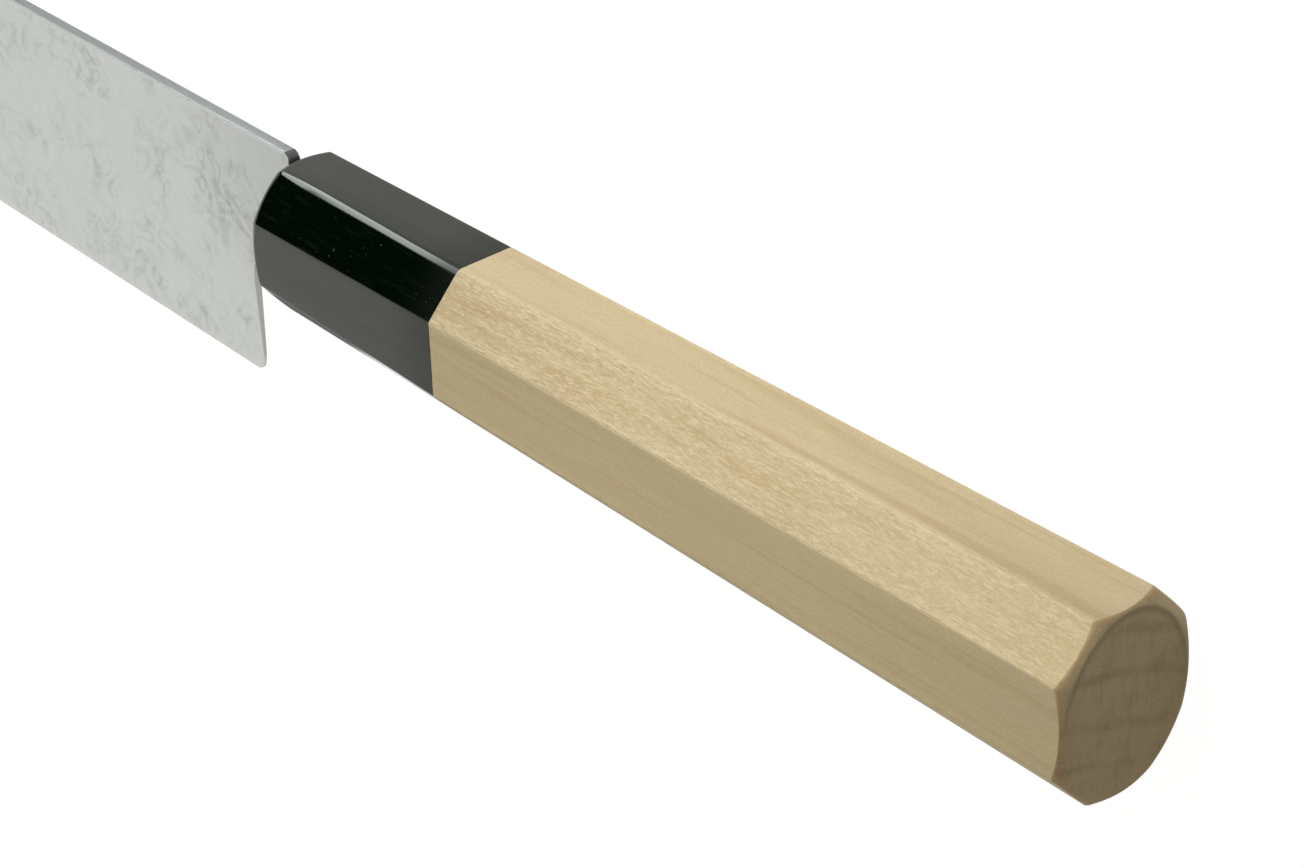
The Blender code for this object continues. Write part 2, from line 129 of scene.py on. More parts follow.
def even_shares(count: int) -> Array:
    """The shares 1/count, 2/count and so on up to 1."""
    return np.arange(1, count + 1) / count


def quarter_drop(radius: float, along: Array) -> Array:
    """Drop of a quarter circle below its top at distances along it, 0 before it starts."""
    reach = np.clip(along, 0.0, radius)
    return radius - np.sqrt(radius**2 - reach**2)


def at_x(x: Any, section: Array) -> Array:
    """Points (x, y, z) of a section's points (y, z) at one x, or at one x for each point."""
    return np.concatenate([np.broadcast_to(x, section.shape[:-1])[..., None], section], axis=-1)


def grid_faces(index: Array) -> Array:
    """Faces of four corners between the neighbours in a grid of point numbers."""
    return np.stack([index[:-1, :-1], index[1:, :-1], index[1:, 1:], index[:-1, 1:]], axis=-1)


def new_mesh(name: str, points: Array, quads: Array) -> bpy.types.Mesh:
    """A mesh of points and faces of four corners.

    Args:
        name: Name of the mesh.
        points: Points, whose last axis is (x, y, z).
        quads: Point numbers, whose last axis is a face's four corners.

    Returns:
        The mesh.
    """
    mesh = bpy.data.meshes.new(name)
    mesh.from_pydata(points.reshape(-1, 3).tolist(), [], quads.reshape(-1, 4).tolist())
    return mesh


def add_object(name: str, data: Any) -> bpy.types.Object:
    """An object of the scene that holds a mesh, a lamp or a camera.

    Args:
        name: Name of the object.
        data: What it holds.

    Returns:
        The object, which stands at the origin.
    """
    added = bpy.data.objects.new(name, data)
    bpy.context.scene.collection.objects.link(added)
    return added


@dataclass(frozen=True)
class Skin:
    """A closed skin: points, faces of four corners, and values kept on the points."""

    points: Array
    quads: Array
    traces: Mapping[Trace, Array]

    @classmethod
    def through_rings(cls, rings: Array, joined: bool, traces: Mapping[Trace, Array]) -> "Skin":
        """Skin a stack of matching rings.

        The surface is a grid of two parameters, the place in the stack and the place round
        the ring, and each face joins four neighbours on it.

        Args:
            rings: Points, of shape (rings, points in a ring, 3).
            joined: Whether the last ring joins the first again.
            traces: Values of shape (rings, points in a ring).

        Returns:
            The skin, whose rings that shrink to a point are closed by welding.
        """
        index = np.arange(rings.shape[0] * rings.shape[1]).reshape(rings.shape[:2])
        if joined:
            index = np.vstack([index, index[:1]])
        turned = np.roll(index, -1, axis=1)
        quads = np.stack([index[:-1], turned[:-1], turned[1:], index[1:]], axis=-1)
        flat = {trace: values.ravel() for trace, values in traces.items()}
        return cls(rings.reshape(-1, 3), quads.reshape(-1, 4), flat)

    @classmethod
    def two_sided(cls, side: Array, cells: Array, traces: Mapping[Trace, Array]) -> "Skin":
        """Skin a flat grid on both sides and close it all round.

        A face of the border stands wherever a cell in use meets one that isn't.

        Args:
            side: Points of the left side, of shape (columns, rows, 3), with z half the
                thickness there. The right side mirrors them.
            cells: Which cells are in use, of shape (columns - 1, rows - 1).
            traces: Values of shape (columns, rows).

        Returns:
            The skin, without the points that no cell uses.
        """
        columns, rows = side.shape[:2]
        count = columns * rows
        index = np.arange(count).reshape(columns, rows)
        used = grid_faces(index)[cells]
        padded = np.pad(cells, 1)
        lengthwise = padded[1:-1, 1:] != padded[1:-1, :-1]
        upright = padded[1:, 1:-1] != padded[:-1, 1:-1]
        ends = np.concatenate([
            np.stack([index[:-1][lengthwise], index[1:][lengthwise]], axis=-1),
            np.stack([index[:, :-1][upright], index[:, 1:][upright]], axis=-1),
        ])
        border = np.concatenate([ends, ends[:, ::-1] + count], axis=1)
        quads = np.concatenate([used, used[:, ::-1] + count, border])
        points = np.concatenate([side.reshape(-1, 3), side.reshape(-1, 3) * (1.0, 1.0, -1.0)])
        kept, quads = np.unique(quads, return_inverse=True)
        flat = {trace: np.tile(values.ravel(), 2)[kept] for trace, values in traces.items()}
        return cls(points[kept], quads.reshape(-1, 4), flat)

    def make_piece(self, name: str, origin: Array, material: bpy.types.Material) -> bpy.types.Object:
        """Turn the skin into an object at the origin, with its place in its mesh.

        Args:
            name: Name of the piece.
            origin: Where the knife's own frame has its origin in the row frame.
            material: The piece's finish.

        Returns:
            The object, welded, facing outwards and smooth where it is round.
        """
        mesh = new_mesh(name, self.points + origin, self.quads)
        for trace, values in self.traces.items():
            attribute = mesh.attributes.new(trace.value, "FLOAT", "POINT")
            attribute.data.foreach_set("value", np.ascontiguousarray(values, dtype=np.float32))
        welded = bmesh.new()
        welded.from_mesh(mesh)
        bmesh.ops.remove_doubles(welded, verts=welded.verts, dist=WELD_DISTANCE)
        bmesh.ops.recalc_face_normals(welded, faces=welded.faces)
        welded.to_mesh(mesh)
        welded.free()
        mesh.shade_smooth()
        mesh.set_sharp_from_angle(angle=SMOOTH_ANGLE)
        mesh.materials.append(material)
        return add_object(name, mesh)


@dataclass(frozen=True)
class Octagon:
    """An octagonal section: overall sizes and the widths of its top and side flats."""

    width: float
    height: float
    top_flat: float
    side_flat: float

    def corners(self) -> Array:
        """The eight corners (y, z), turning from the top flat towards the left side.

        Returns:
            Points of shape (8, 2).
        """
        quarter = np.array([[self.height, self.top_flat], [self.side_flat, self.width]]) / 2.0
        left = np.concatenate([quarter, quarter[::-1] * (-1.0, 1.0)])
        return np.concatenate([left, left[::-1] * (1.0, -1.0)])


def softened_outline(corners: Array, radii: Array, crown: float, arc_steps: int,
                     flat_steps: int) -> Array:
    """The outline of an octagon whose corners are arcs and whose flats are slightly crowned.

    Each arc's centre lies on the corner's bisector, radius / sin(half angle) inwards. The
    arc turns through what the half angle leaves of a straight line. The flats are divided
    evenly between arcs and rise outwards by a parabola.

    Args:
        corners: The eight corners (y, z).
        radii: Radius of each arc, of shape (8, 1).
        crown: Height of the flats' crown.
        arc_steps: Steps in an arc.
        flat_steps: Steps along a flat.

    Returns:
        Points (y, z) round the outline.
    """
    before = unit(np.roll(corners, 1, axis=0) - corners)
    after = unit(np.roll(corners, -1, axis=0) - corners)
    bisector = unit(before + after)
    half_angle = np.arccos(np.sum(bisector * before, axis=-1))[:, None]
    centre = corners + bisector * radii / np.sin(half_angle)
    spoke = corners + before * radii / np.tan(half_angle) - centre
    side = np.sign(before[:, :1] * after[:, 1:] - before[:, 1:] * after[:, :1])
    angle = -side * (math.pi - 2.0 * half_angle) * np.linspace(0.0, 1.0, arc_steps + 1)
    arc = centre[:, None] + np.stack([
        spoke[:, :1] * np.cos(angle) - spoke[:, 1:] * np.sin(angle),
        spoke[:, :1] * np.sin(angle) + spoke[:, 1:] * np.cos(angle),
    ], axis=-1)
    share = (np.arange(1, flat_steps) / flat_steps)[:, None]
    following = np.roll(arc[:, :1], -1, axis=0)
    outwards = unit(arc[:, -1:] + following)
    flat = lerp(arc[:, -1:], following, share) + outwards * 4.0 * share * (1.0 - share) * crown
    return np.concatenate([arc, flat], axis=1).reshape(-1, 2)


@dataclass(frozen=True)
class Rim:
    """The oval end face of a handle piece, how far it lies to the left, and its rim's flare."""

    face_x: float
    half_width: float
    half_height: float
    flare: float
    inward: int
    aside: float = 0.0

    def outside(self, points: Array) -> Array:
        """Whether points lie outside the oval, which grows by the flare away from the face.

        Args:
            points: Points (x, y, z).

        Returns:
            True for each point outside.
        """
        growth = self.flare * (points[:, 0] - self.face_x) * self.inward
        across = points[:, 1] / (self.half_height + growth)
        return np.hypot(across, (points[:, 2] - self.aside) / (self.half_width + growth)) > 1.0

    def crest(self, near: Array, end: Array) -> Array:
        """Where the oval cuts the straight lines from near to end, found by halving.

        Args:
            near: Points inside the oval.
            end: Points that the lines run to.

        Returns:
            The last points inside.
        """
        low = np.zeros((len(near), 1))
        high = np.ones((len(near), 1))
        for _ in range(SEARCH_STEPS):
            middle = (low + high) / 2.0
            out = self.outside(lerp(near, end, middle))[:, None]
            high = np.where(out, middle, high)
            low = np.where(out, low, middle)
        return lerp(near, end, low)

    def face_ring(self, crest: Array) -> Array:
        """Points of the end face's outline in the directions of the crest's points.

        Args:
            crest: The ring where the rim starts, of points (x, y, z).

        Returns:
            The outline's points (x, y, z).
        """
        centre = np.array([0.0, self.aside])
        across = crest[:, 1:] - centre
        reach = np.hypot(across[:, :1] / self.half_height, across[:, 1:] / self.half_width)
        return at_x(self.face_x, centre + across / reach)

    def cut_band(self, crest: Array, fullness: float, steps: int) -> Array:
        """The band from crest to face as a cut: straight lines that swell by a parabola.

        Args:
            crest: The ring where the rim starts, of points (x, y, z).
            fullness: The swell's share of the band's depth.
            steps: Rings in the band.

        Returns:
            Rings from the crest, left out, to the face.
        """
        face = self.face_ring(crest)
        share = np.linspace(0.0, 1.0, steps + 1)[1:, None, None]
        depth = np.abs(face[:, :1] - crest[:, :1])
        swell = 4.0 * share * (1.0 - share) * fullness * depth
        band = lerp(crest, face, share)
        across = band[..., 1:] + unit(band[..., 1:]) * swell * self.flare
        return np.concatenate([band[..., :1] - self.inward * swell, across], axis=-1)

    def rolled_band(self, crest: Array, corner: Array, weight: float, steps: int) -> Array:
        """The band from crest to face as a conic that leaves the flat and meets the face smoothly.

        Each line is the rational curve (a (1-t)^2 + 2 w b t (1-t) + c t^2) divided by the
        sum of its weights, from crest a by the corner b to the face c.

        Args:
            crest: The ring where the rim starts, of points (x, y, z).
            corner: The ring that the flats would reach at the face if nothing rounded them.
            weight: How far the corner pulls the conic outwards.
            steps: Rings in the band.

        Returns:
            Rings from the crest, left out, to the face.
        """
        share = np.linspace(0.0, 1.0, steps + 1)[1:, None, None]
        first, middle, last = (1.0 - share) ** 2, 2.0 * weight * share * (1.0 - share), share**2
        total = first + middle + last
        return (first * crest + middle * corner + last * self.face_ring(crest)) / total


@dataclass
class Handle:
    """The octagonal handle: its horn ferrule and its wooden body, with their hollows."""

    front: Octagon = Octagon(0.01738, 0.02006, 0.00788, 0.00868)
    joint: Octagon = Octagon(0.01806, 0.02094, 0.00816, 0.01026)
    butt: Octagon = Octagon(0.02012, 0.02342, 0.00938, 0.01164)
    length: float = 0.1430
    ferrule_length: float = 0.0376
    joint_gap: float = 0.00005
    sharp_ridge: float = 0.0003
    horn_ridge: float = 0.0020
    horn_ridge_starts: float = -0.0030
    horn_ridge_reach: float = 0.0110
    horn_crown: float = 0.00003
    rounded_corners: tuple[int, int] = (0, 3)
    wood_front_ridge: float = 0.0014
    wood_butt_ridge: float = 0.0004
    ridge_wear: float = 0.00012
    wear_seed: int = 11
    wear_end_power: float = 0.3
    wear_fade: Span = (0.75, 0.30)
    front_top_inset: float = 0.0007
    front_side_inset: float = 0.0013
    front_flare: float = 1.04
    front_weight: float = 0.6
    butt_top_inset: float = 0.0003
    butt_side_inset: float = 0.0007
    butt_aside: float = 0.00035
    butt_flare: float = 1.18
    butt_fullness: float = 0.13
    band_grain: Span = (0.37, 0.62)
    crease_fade: Place = (0.035, 0.09, 0.5)
    crease_shares: Span = (1.0, 0.5)
    mouth_depth: float = 0.0080
    mouth_centre: float = 0.0004
    mouth_half_height: float = 0.0060
    mouth_half_width: float = 0.00235
    bore_radius: float = 0.0069
    bore_end: float = 0.0652
    hole_half_height: float = 0.0042
    hole_half_width: float = 0.0012
    hole_end: float = 0.1080
    arc_steps: int = 6
    flat_steps: int = 12
    ferrule_stations: int = 40
    station_power: float = 1.5
    body_stations: int = 320
    rim_steps: int = 12

    def outline_at(self, octagon: Octagon, x: float, left_ridge: float,
                   crown: float = 0.0) -> Array:
        """The softened outline of an octagon as a ring at one x.

        Args:
            octagon: The section.
            x: Where it lies.
            left_ridge: Radius of the two ridges between the left bevels and the top and
                bottom flats. The others are sharper.
            crown: Height of the flats' crown.

        Returns:
            The ring.
        """
        radii = np.full((CORNERS, 1), self.sharp_ridge)
        radii[list(self.rounded_corners)] = left_ridge
        steps = (self.arc_steps, self.flat_steps)
        return at_x(x, softened_outline(octagon.corners(), radii, crown, *steps))

    def worn(self, flats: Array) -> Array:
        """The flats' rings with their ridges worn unevenly, as hand sanding leaves them.

        The middle of each ridge sinks by a random depth, smoothed along the handle, and the
        wear fades to nothing at both ends.

        Args:
            flats: Rings along the handle, of shape (rings, points, 3).

        Returns:
            The worn rings, of the same shape.
        """
        random = np.random.default_rng(self.wear_seed)
        rough = random.random((len(flats) + 2, CORNERS))
        depth = (rough[:-2] + rough[1:-1] * 2.0 + rough[2:]) / 4.0
        fade = np.sin(math.pi * np.linspace(0.0, 1.0, len(flats))) ** self.wear_end_power
        across = np.zeros(self.arc_steps + self.flat_steps)
        across[:self.arc_steps + 1] = np.sin(math.pi * np.arange(self.arc_steps + 1) / self.arc_steps)
        sink = self.ridge_wear * (depth * fade[:, None])[..., None] * across
        section = flats[..., 1:]
        section = section - unit(section) * sink.reshape(len(flats), -1, 1)
        return np.concatenate([flats[..., :1], section], axis=-1)

    def bevel_shares(self) -> Array:
        """1 round the outline where a point lies on a bevel and 0 on the other flats.

        Returns:
            One value for each point of the outline.
        """
        on_bevel = np.zeros((CORNERS, self.arc_steps + self.flat_steps))
        on_bevel[::2, self.arc_steps // 2:] = 1.0
        on_bevel[1::2, :self.arc_steps // 2] = 1.0
        return on_bevel.ravel()

    def wear_shares(self) -> Array:
        """1 round the outline on the ridges, fading over the borders of the bevels.

        Returns:
            One value for each point of the outline.
        """
        shares = np.zeros((CORNERS, self.arc_steps + self.flat_steps))
        start, fading = self.arc_steps + 1, len(self.wear_fade)
        shares[:, :start] = 1.0
        shares[::2, start:start + fading] = self.wear_fade
        shares[::2, -fading:] = self.wear_fade[::-1]
        return shares.ravel()

    def slot_ring(self, x: float, around: Array, half_height: float, half_width: float) -> Array:
        """A rectangular ring: each direction of another ring, cut off at the nearer side.

        Args:
            x: Where the ring lies.
            around: The ring whose directions it takes.
            half_height: Half the slot's height.
            half_width: Half its width.

        Returns:
            The ring.
        """
        heading = unit(around[:, 1:])
        halves = np.array([half_height, half_width])
        with np.errstate(divide="ignore"):
            reach = np.min(halves / np.abs(heading), axis=1, keepdims=True)
        return at_x(x, heading * reach + (self.mouth_centre, 0.0))

    def round_ring(self, x: float, around: Array, radius: float) -> Array:
        """A round ring with its points in the directions of another ring's."""
        return at_x(x, unit(around[:, 1:]) * radius)

    def ridge_growth(self, x: Array) -> Array:
        """How far the horn's rounded ridges have grown at x: a smooth step from 0 to 1."""
        way = np.clip((x - self.horn_ridge_starts) / self.horn_ridge_reach, 0.0, 1.0)
        return way**2 * (3.0 - 2.0 * way)

    def ferrule_skin(self) -> Skin:
        """The ferrule: flats, rolled front rim, mouth, step, bore and back face, in a loop.

        Its two rounded ridges are sharper at the front rim.

        Returns:
            The skin, without traces.
        """
        front = self.outline_at(self.front, 0.0, self.sharp_ridge, self.horn_crown)
        back_x = self.ferrule_length
        back = self.outline_at(self.joint, back_x, self.sharp_ridge, self.horn_crown)
        rounded = self.outline_at(self.joint, back_x, self.horn_ridge, self.horn_crown)
        rim = Rim(0.0, self.front.width / 2.0 - self.front_side_inset,
                  self.front.height / 2.0 - self.front_top_inset, self.front_flare, 1)
        crest = rim.crest(back, front)
        left = np.linspace(1.0, 0.0, self.ferrule_stations + 1)[:, None, None]
        flats = lerp(back, crest, 1.0 - left**self.station_power)
        flats = flats + (rounded - back) * self.ridge_growth(flats[..., :1])
        corner = front + (rounded - back) * self.ridge_growth(front[:, :1])
        band = rim.rolled_band(flats[-1], corner, self.front_weight, self.rim_steps)
        mouth = (self.mouth_half_height, self.mouth_half_width)
        hollow = np.stack([
            self.slot_ring(0.0, back, *mouth),
            self.slot_ring(self.mouth_depth, back, *mouth),
            self.round_ring(self.mouth_depth, back, self.bore_radius),
            self.round_ring(self.ferrule_length, back, self.bore_radius),
        ])
        return Skin.through_rings(np.concatenate([flats, band, hollow]), True, {})

    def body_skin(self) -> Skin:
        """The wooden body: tang hole, bore, front face, flats, butt rim and butt, in a stack.

        Returns:
            The skin, with all that the wood's finish follows.
        """
        start_x = self.ferrule_length + self.joint_gap
        start = self.outline_at(self.joint, start_x, self.wood_front_ridge)
        end = self.outline_at(self.butt, self.length, self.wood_butt_ridge)
        rim = Rim(self.length, self.butt.width / 2.0 - self.butt_side_inset,
                  self.butt.height / 2.0 - self.butt_top_inset, self.butt_flare, -1,
                  self.butt_aside)
        crest = rim.crest(start, end)
        share = np.linspace(0.0, 1.0, self.body_stations + 1)[:, None, None]
        flats = self.worn(lerp(start, crest, share))
        band = rim.cut_band(crest, self.butt_fullness, self.rim_steps)
        hole = (self.hole_half_height, self.hole_half_width)
        hollow = np.stack([
            self.slot_ring(self.hole_end, start, 0.0, 0.0),
            self.slot_ring(self.hole_end, start, *hole),
            self.slot_ring(self.bore_end, start, *hole),
            self.round_ring(self.bore_end, start, self.bore_radius),
            self.round_ring(start_x, start, self.bore_radius),
        ])
        centre = at_x(self.length, np.zeros((1, 2)))
        face = lerp(band[-1], centre, np.array([0.0, *self.crease_fade, 1.0])[:, None, None])
        rings = np.concatenate([hollow, flats, band, face[1:]])
        grain = np.concatenate([np.zeros(len(hollow) + len(flats)),
                                np.linspace(*self.band_grain, len(band)), np.ones(len(face) - 1)])
        crease = np.zeros(len(rings))
        border = len(rings) - len(face)
        crease[border:border + len(self.crease_shares)] = self.crease_shares
        values = {
            Trace.END_GRAIN: grain[:, None],
            Trace.CREASE: crease[:, None],
            Trace.BEVEL: self.bevel_shares(),
            Trace.WEAR: self.wear_shares(),
        }
        traces = {trace: np.broadcast_to(value, rings.shape[:2]) for trace, value in values.items()}
        return Skin.through_rings(rings, False, traces)


@dataclass
class Blade:
    """The blade with heel, choil, neck, shoulders and tang, as columns from tip to tang."""

    length: float = 0.2393
    neck_length: float = 0.0116
    spine_y: float = 0.0104
    heel_y: float = -0.02655
    tip_y: float = 0.0022
    tip_blunt: float = 0.0005
    spine_straight: float = 0.1440
    spine_power: float = 2.0
    edge_slope: float = 0.0155
    edge_power: float = 5.5
    heel_radius: float = 0.0022
    heel_lean: float = 0.00025
    spine_at_heel: float = 0.0019
    spine_at_tip: float = 0.0013
    spine_ease: float = 0.00035
    edge_thickness: float = 0.00012
    edge_bevel_height: float = 0.0010
    edge_bevel_thickness: float = 0.00042
    convexity: float = 1.35
    neck_y: float = -0.0060
    choil_radius: float = 0.0060
    shoulder_radius: float = 0.0011
    shoulder_x: float = -0.0010
    tang_length: float = 0.1040
    tang_front: Span = (-0.0042, 0.0050)
    tang_end: Span = (-0.0030, 0.0028)
    tang_end_thickness: float = 0.0014
    blade_columns: int = 340
    heel_columns: int = 14
    choil_columns: int = 24
    neck_columns: int = 8
    shoulder_columns: int = 12
    tang_columns: int = 24
    bevel_rows: int = 3
    flank_rows: int = 34
    lower_rows: int = 4
    tang_rows: int = 8
    upper_rows: int = 6
    ease_rows: int = 8

    def spine_level(self, share: Array) -> Array:
        """Height of the spine: level, then falling as the square of the way to the tip.

        Args:
            share: Shares of the blade's length from the heel, 0, to the tip, 1.

        Returns:
            Heights y.
        """
        start = self.spine_straight / self.length
        drop = self.spine_y - self.tip_y - self.tip_blunt / 2.0
        way = np.maximum(share - start, 0.0) / (1.0 - start)
        return self.spine_y - drop * way**self.spine_power

    def edge_level(self, share: Array) -> Array:
        """Height of the edge: a slight slope, a high power that sweeps up, a round heel.

        Args:
            share: Shares of the blade's length from the heel, 0, to the tip, 1.

        Returns:
            Heights y.
        """
        rise = self.tip_y - self.tip_blunt / 2.0 - self.heel_y
        straight = self.edge_slope * self.length
        sweep = (rise - straight) * share**self.edge_power
        from_heel = np.minimum(share * self.length / self.heel_radius, 1.0)
        rounding = self.heel_radius * (1.0 - np.sqrt(1.0 - (1.0 - from_heel) ** 2))
        return self.heel_y + straight * share + sweep + rounding

    def full_height(self, share: Array) -> Array:
        """Height from edge to spine."""
        return self.spine_level(share) - self.edge_level(share)

    def bevel_height(self, full: Array) -> Array:
        """Height of the edge bevel, at most a quarter of the full height."""
        return np.minimum(self.edge_bevel_height, full / 4.0)

    def ease_radius(self, spine: Array) -> Array:
        """Radius of the eased border, at most half of half the spine's thickness."""
        return np.minimum(self.spine_ease, spine / 2.0)

    def half_spine(self, share: Array) -> Array:
        """Half the spine's thickness, thinning to the tip and with the root of the height."""
        taper = np.sqrt(self.full_height(share) / (self.spine_y - self.heel_y))
        return lerp(self.spine_at_heel, self.spine_at_tip, share) / 2.0 * taper

    def half_thickness(self, share: Array, height: Array) -> Array:
        """Half the thickness: an edge bevel, a convex flank and an eased border at the spine.

        Above the bevel, which widens evenly, the flank widens to the spine's thickness as
        1 - (1 - rise)^convexity, where rise goes from 0 at the bevel to 1 at the spine. The
        border leaves it by a quarter circle.

        Args:
            share: Shares of the blade's length from the heel, 0, to the tip, 1.
            height: Heights above the edge.

        Returns:
            Distances z.
        """
        full = self.full_height(share)
        spine = self.half_spine(share)
        edge = self.edge_thickness / 2.0
        bevel_height = self.bevel_height(full)
        bevel = np.minimum(self.edge_bevel_thickness / 2.0, lerp(edge, spine, 0.5))
        rise = np.clip((height - bevel_height) / (full - bevel_height), 0.0, 1.0)
        flank = lerp(bevel, spine, 1.0 - (1.0 - rise) ** self.convexity)
        radius = self.ease_radius(spine)
        inward = np.clip(radius - (full - height), 0.0, radius)
        eased = flank - (radius - np.sqrt(radius**2 - inward**2))
        return np.where(height <= bevel_height, lerp(edge, bevel, height / bevel_height), eased)

    def heel_x(self, level: Array) -> Array:
        """Place of the heel's rear edge, which leans back a little towards the edge.

        Args:
            level: Heights y.

        Returns:
            Places x.
        """
        choil = self.neck_y - self.choil_radius
        lean = np.maximum(choil - level, 0.0) / (choil - self.heel_y)
        return -self.neck_length - self.heel_lean * (1.0 - lean)

    def blade_grid(self) -> Array:
        """The blade proper: columns from tip to heel, close together at both ends.

        Returns:
            Columns of shape (columns, rows, 3).
        """
        heel_height = self.spine_y - self.edge_level(np.float64(0.0))
        choil_height = self.neck_y - self.choil_radius - self.edge_level(np.float64(0.0))
        first = self.heel_radius / self.length
        turn = QUARTER_TURN * np.arange(self.heel_columns) / self.heel_columns
        way = QUARTER_TURN * np.linspace(0.0, 1.0, self.blade_columns + 1)
        columns = np.concatenate([first * (1.0 - np.cos(turn)), lerp(first, 1.0, np.sin(way))])
        share = columns[::-1, None]
        low, full = self.edge_level(share), self.full_height(share)
        bevel = self.bevel_height(full)
        choil = full * choil_height / heel_height
        ease = self.ease_radius(self.half_spine(share))
        upper = self.lower_rows + self.tang_rows + self.upper_rows
        height = np.concatenate([
            bevel * np.arange(self.bevel_rows) / self.bevel_rows,
            lerp(bevel, choil, np.linspace(0.0, 1.0, self.flank_rows + 1)),
            lerp(choil, full - ease, even_shares(upper)),
            full - ease * (1.0 - np.sin(QUARTER_TURN * even_shares(self.ease_rows))),
        ], axis=1)
        x = lerp(self.heel_x(low + height), -self.neck_length - self.length, share)
        return np.stack([x, low + height, self.half_thickness(share, height)], axis=-1)

    def shoulder_shares(self) -> Array:
        """Shares of the neck's height, up to its eased rows, at which rows meet the shoulders.

        Returns:
            One share for each row.
        """
        bottom, top = self.tang_front
        height = self.spine_y - self.spine_ease - self.shoulder_radius - self.neck_y
        low, high = (bottom - self.neck_y) / height, (top - self.neck_y) / height
        return np.concatenate([
            np.linspace(0.0, low, self.lower_rows + 1),
            np.linspace(low, high, self.tang_rows + 1)[1:],
            np.linspace(high, 1.0, self.upper_rows + 1)[1:],
        ])

    def neck_grid(self, heel: Array) -> Array:
        """The neck: quarter circles at the choil and the shoulder, straight between.

        Args:
            heel: The heel's column from the choil's row upwards, of shape (rows, 3).

        Returns:
            Columns of the neck, of shape (columns, rows, 3).
        """
        start_x = float(self.heel_x(np.float64(self.neck_y)))
        straight_end = self.shoulder_x - start_x - self.shoulder_radius
        choil = QUARTER_TURN * even_shares(self.choil_columns)
        shoulder = QUARTER_TURN * even_shares(self.shoulder_columns)
        offset = np.concatenate([
            self.choil_radius * (1.0 - np.cos(choil)),
            lerp(self.choil_radius, straight_end, even_shares(self.neck_columns)),
            straight_end + self.shoulder_radius * np.sin(shoulder),
        ])[:, None]
        progress = offset / (self.shoulder_x - start_x)
        flank, ease = np.split(heel, [len(heel) - self.ease_rows])
        low = self.neck_y - quarter_drop(self.choil_radius, self.choil_radius - offset)
        top = flank[-1, 1] - quarter_drop(self.shoulder_radius, offset - straight_end)
        level = (flank[:, 1] - flank[0, 1]) / (flank[-1, 1] - flank[0, 1])
        y = np.concatenate([lerp(low, top, lerp(level, self.shoulder_shares(), progress)),
                            top + ease[:, 1] - flank[-1, 1]], axis=1)
        most = self.spine_at_heel / 2.0
        half = np.concatenate([np.minimum(lerp(flank[:, 2], most, progress), most),
                               np.broadcast_to(ease[:, 2], (len(offset), len(ease)))], axis=1)
        return np.stack([np.broadcast_to(start_x + offset, y.shape), y, half], axis=-1)

    def tang_grid(self) -> Array:
        """The tang: a bar that tapers evenly in height and thickness to its end.

        Returns:
            Columns of shape (columns, rows, 3).
        """
        share = even_shares(self.tang_columns)[:, None]
        bottom, top = (lerp(front, end, share) for front, end in zip(self.tang_front, self.tang_end))
        y = lerp(bottom, top, np.linspace(0.0, 1.0, self.tang_rows + 1))
        half = lerp(self.spine_at_heel, self.tang_end_thickness, share) / 2.0
        return np.stack([np.broadcast_to(share * self.tang_length, y.shape), y,
                         np.broadcast_to(half, y.shape)], axis=-1)

    def skin(self) -> Skin:
        """Both sides of the whole grid, with the rows that the neck and the tang have.

        Returns:
            The skin, with all that the steel's finish follows.
        """
        blade = self.blade_grid()
        first = self.bevel_rows + self.flank_rows
        neck = self.neck_grid(blade[-1, first:])
        tang = self.tang_grid()
        tang_low = first + self.lower_rows
        tang_high = tang_low + self.tang_rows
        heel = len(blade)
        shown = heel + len(neck)
        columns, rows = shown + len(tang), blade.shape[1]
        side = np.zeros((columns, rows, 3))
        side[:heel] = blade
        side[heel:shown, first:] = neck
        side[shown:, tang_low:tang_high + 1] = tang
        cells = np.ones((columns - 1, rows - 1), dtype=bool)
        cells[heel - 1:, :first] = False
        cells[shown - 1:, :tang_low] = False
        cells[shown - 1:, tang_high:] = False
        from_choil = side[:shown, :, 1] - side[:shown, first:first + 1, 1]
        below = np.full((columns, rows), FAR_AWAY)
        below[:shown] = side[:shown, -1:, 1] - side[:shown, :, 1]
        back = np.full((columns, rows), FAR_AWAY)
        back[:heel] = self.heel_x(blade[..., 1]) - blade[..., 0]
        back[:heel, first:] = np.hypot(back[:heel, first:], from_choil[:heel, first:])
        back[heel:shown] = from_choil[heel:]
        curve = slice(shown - self.shoulder_columns, shown)
        back[curve] = np.minimum(back[curve], below[curve])
        traces = {Trace.BELOW_SPINE: below, Trace.FROM_BACK: back}
        return Skin.two_sided(side, cells, traces)


# Finishes


Input = Union["Wire", float, Sequence[float]]


@dataclass(frozen=True)
class Grain:
    """A noise: how often it changes in a metre on each axis, and what counts as 0 and 1 of it."""

    scale: Place
    detail: float
    roughness: float = 0.5
    limits: Optional[Span] = None


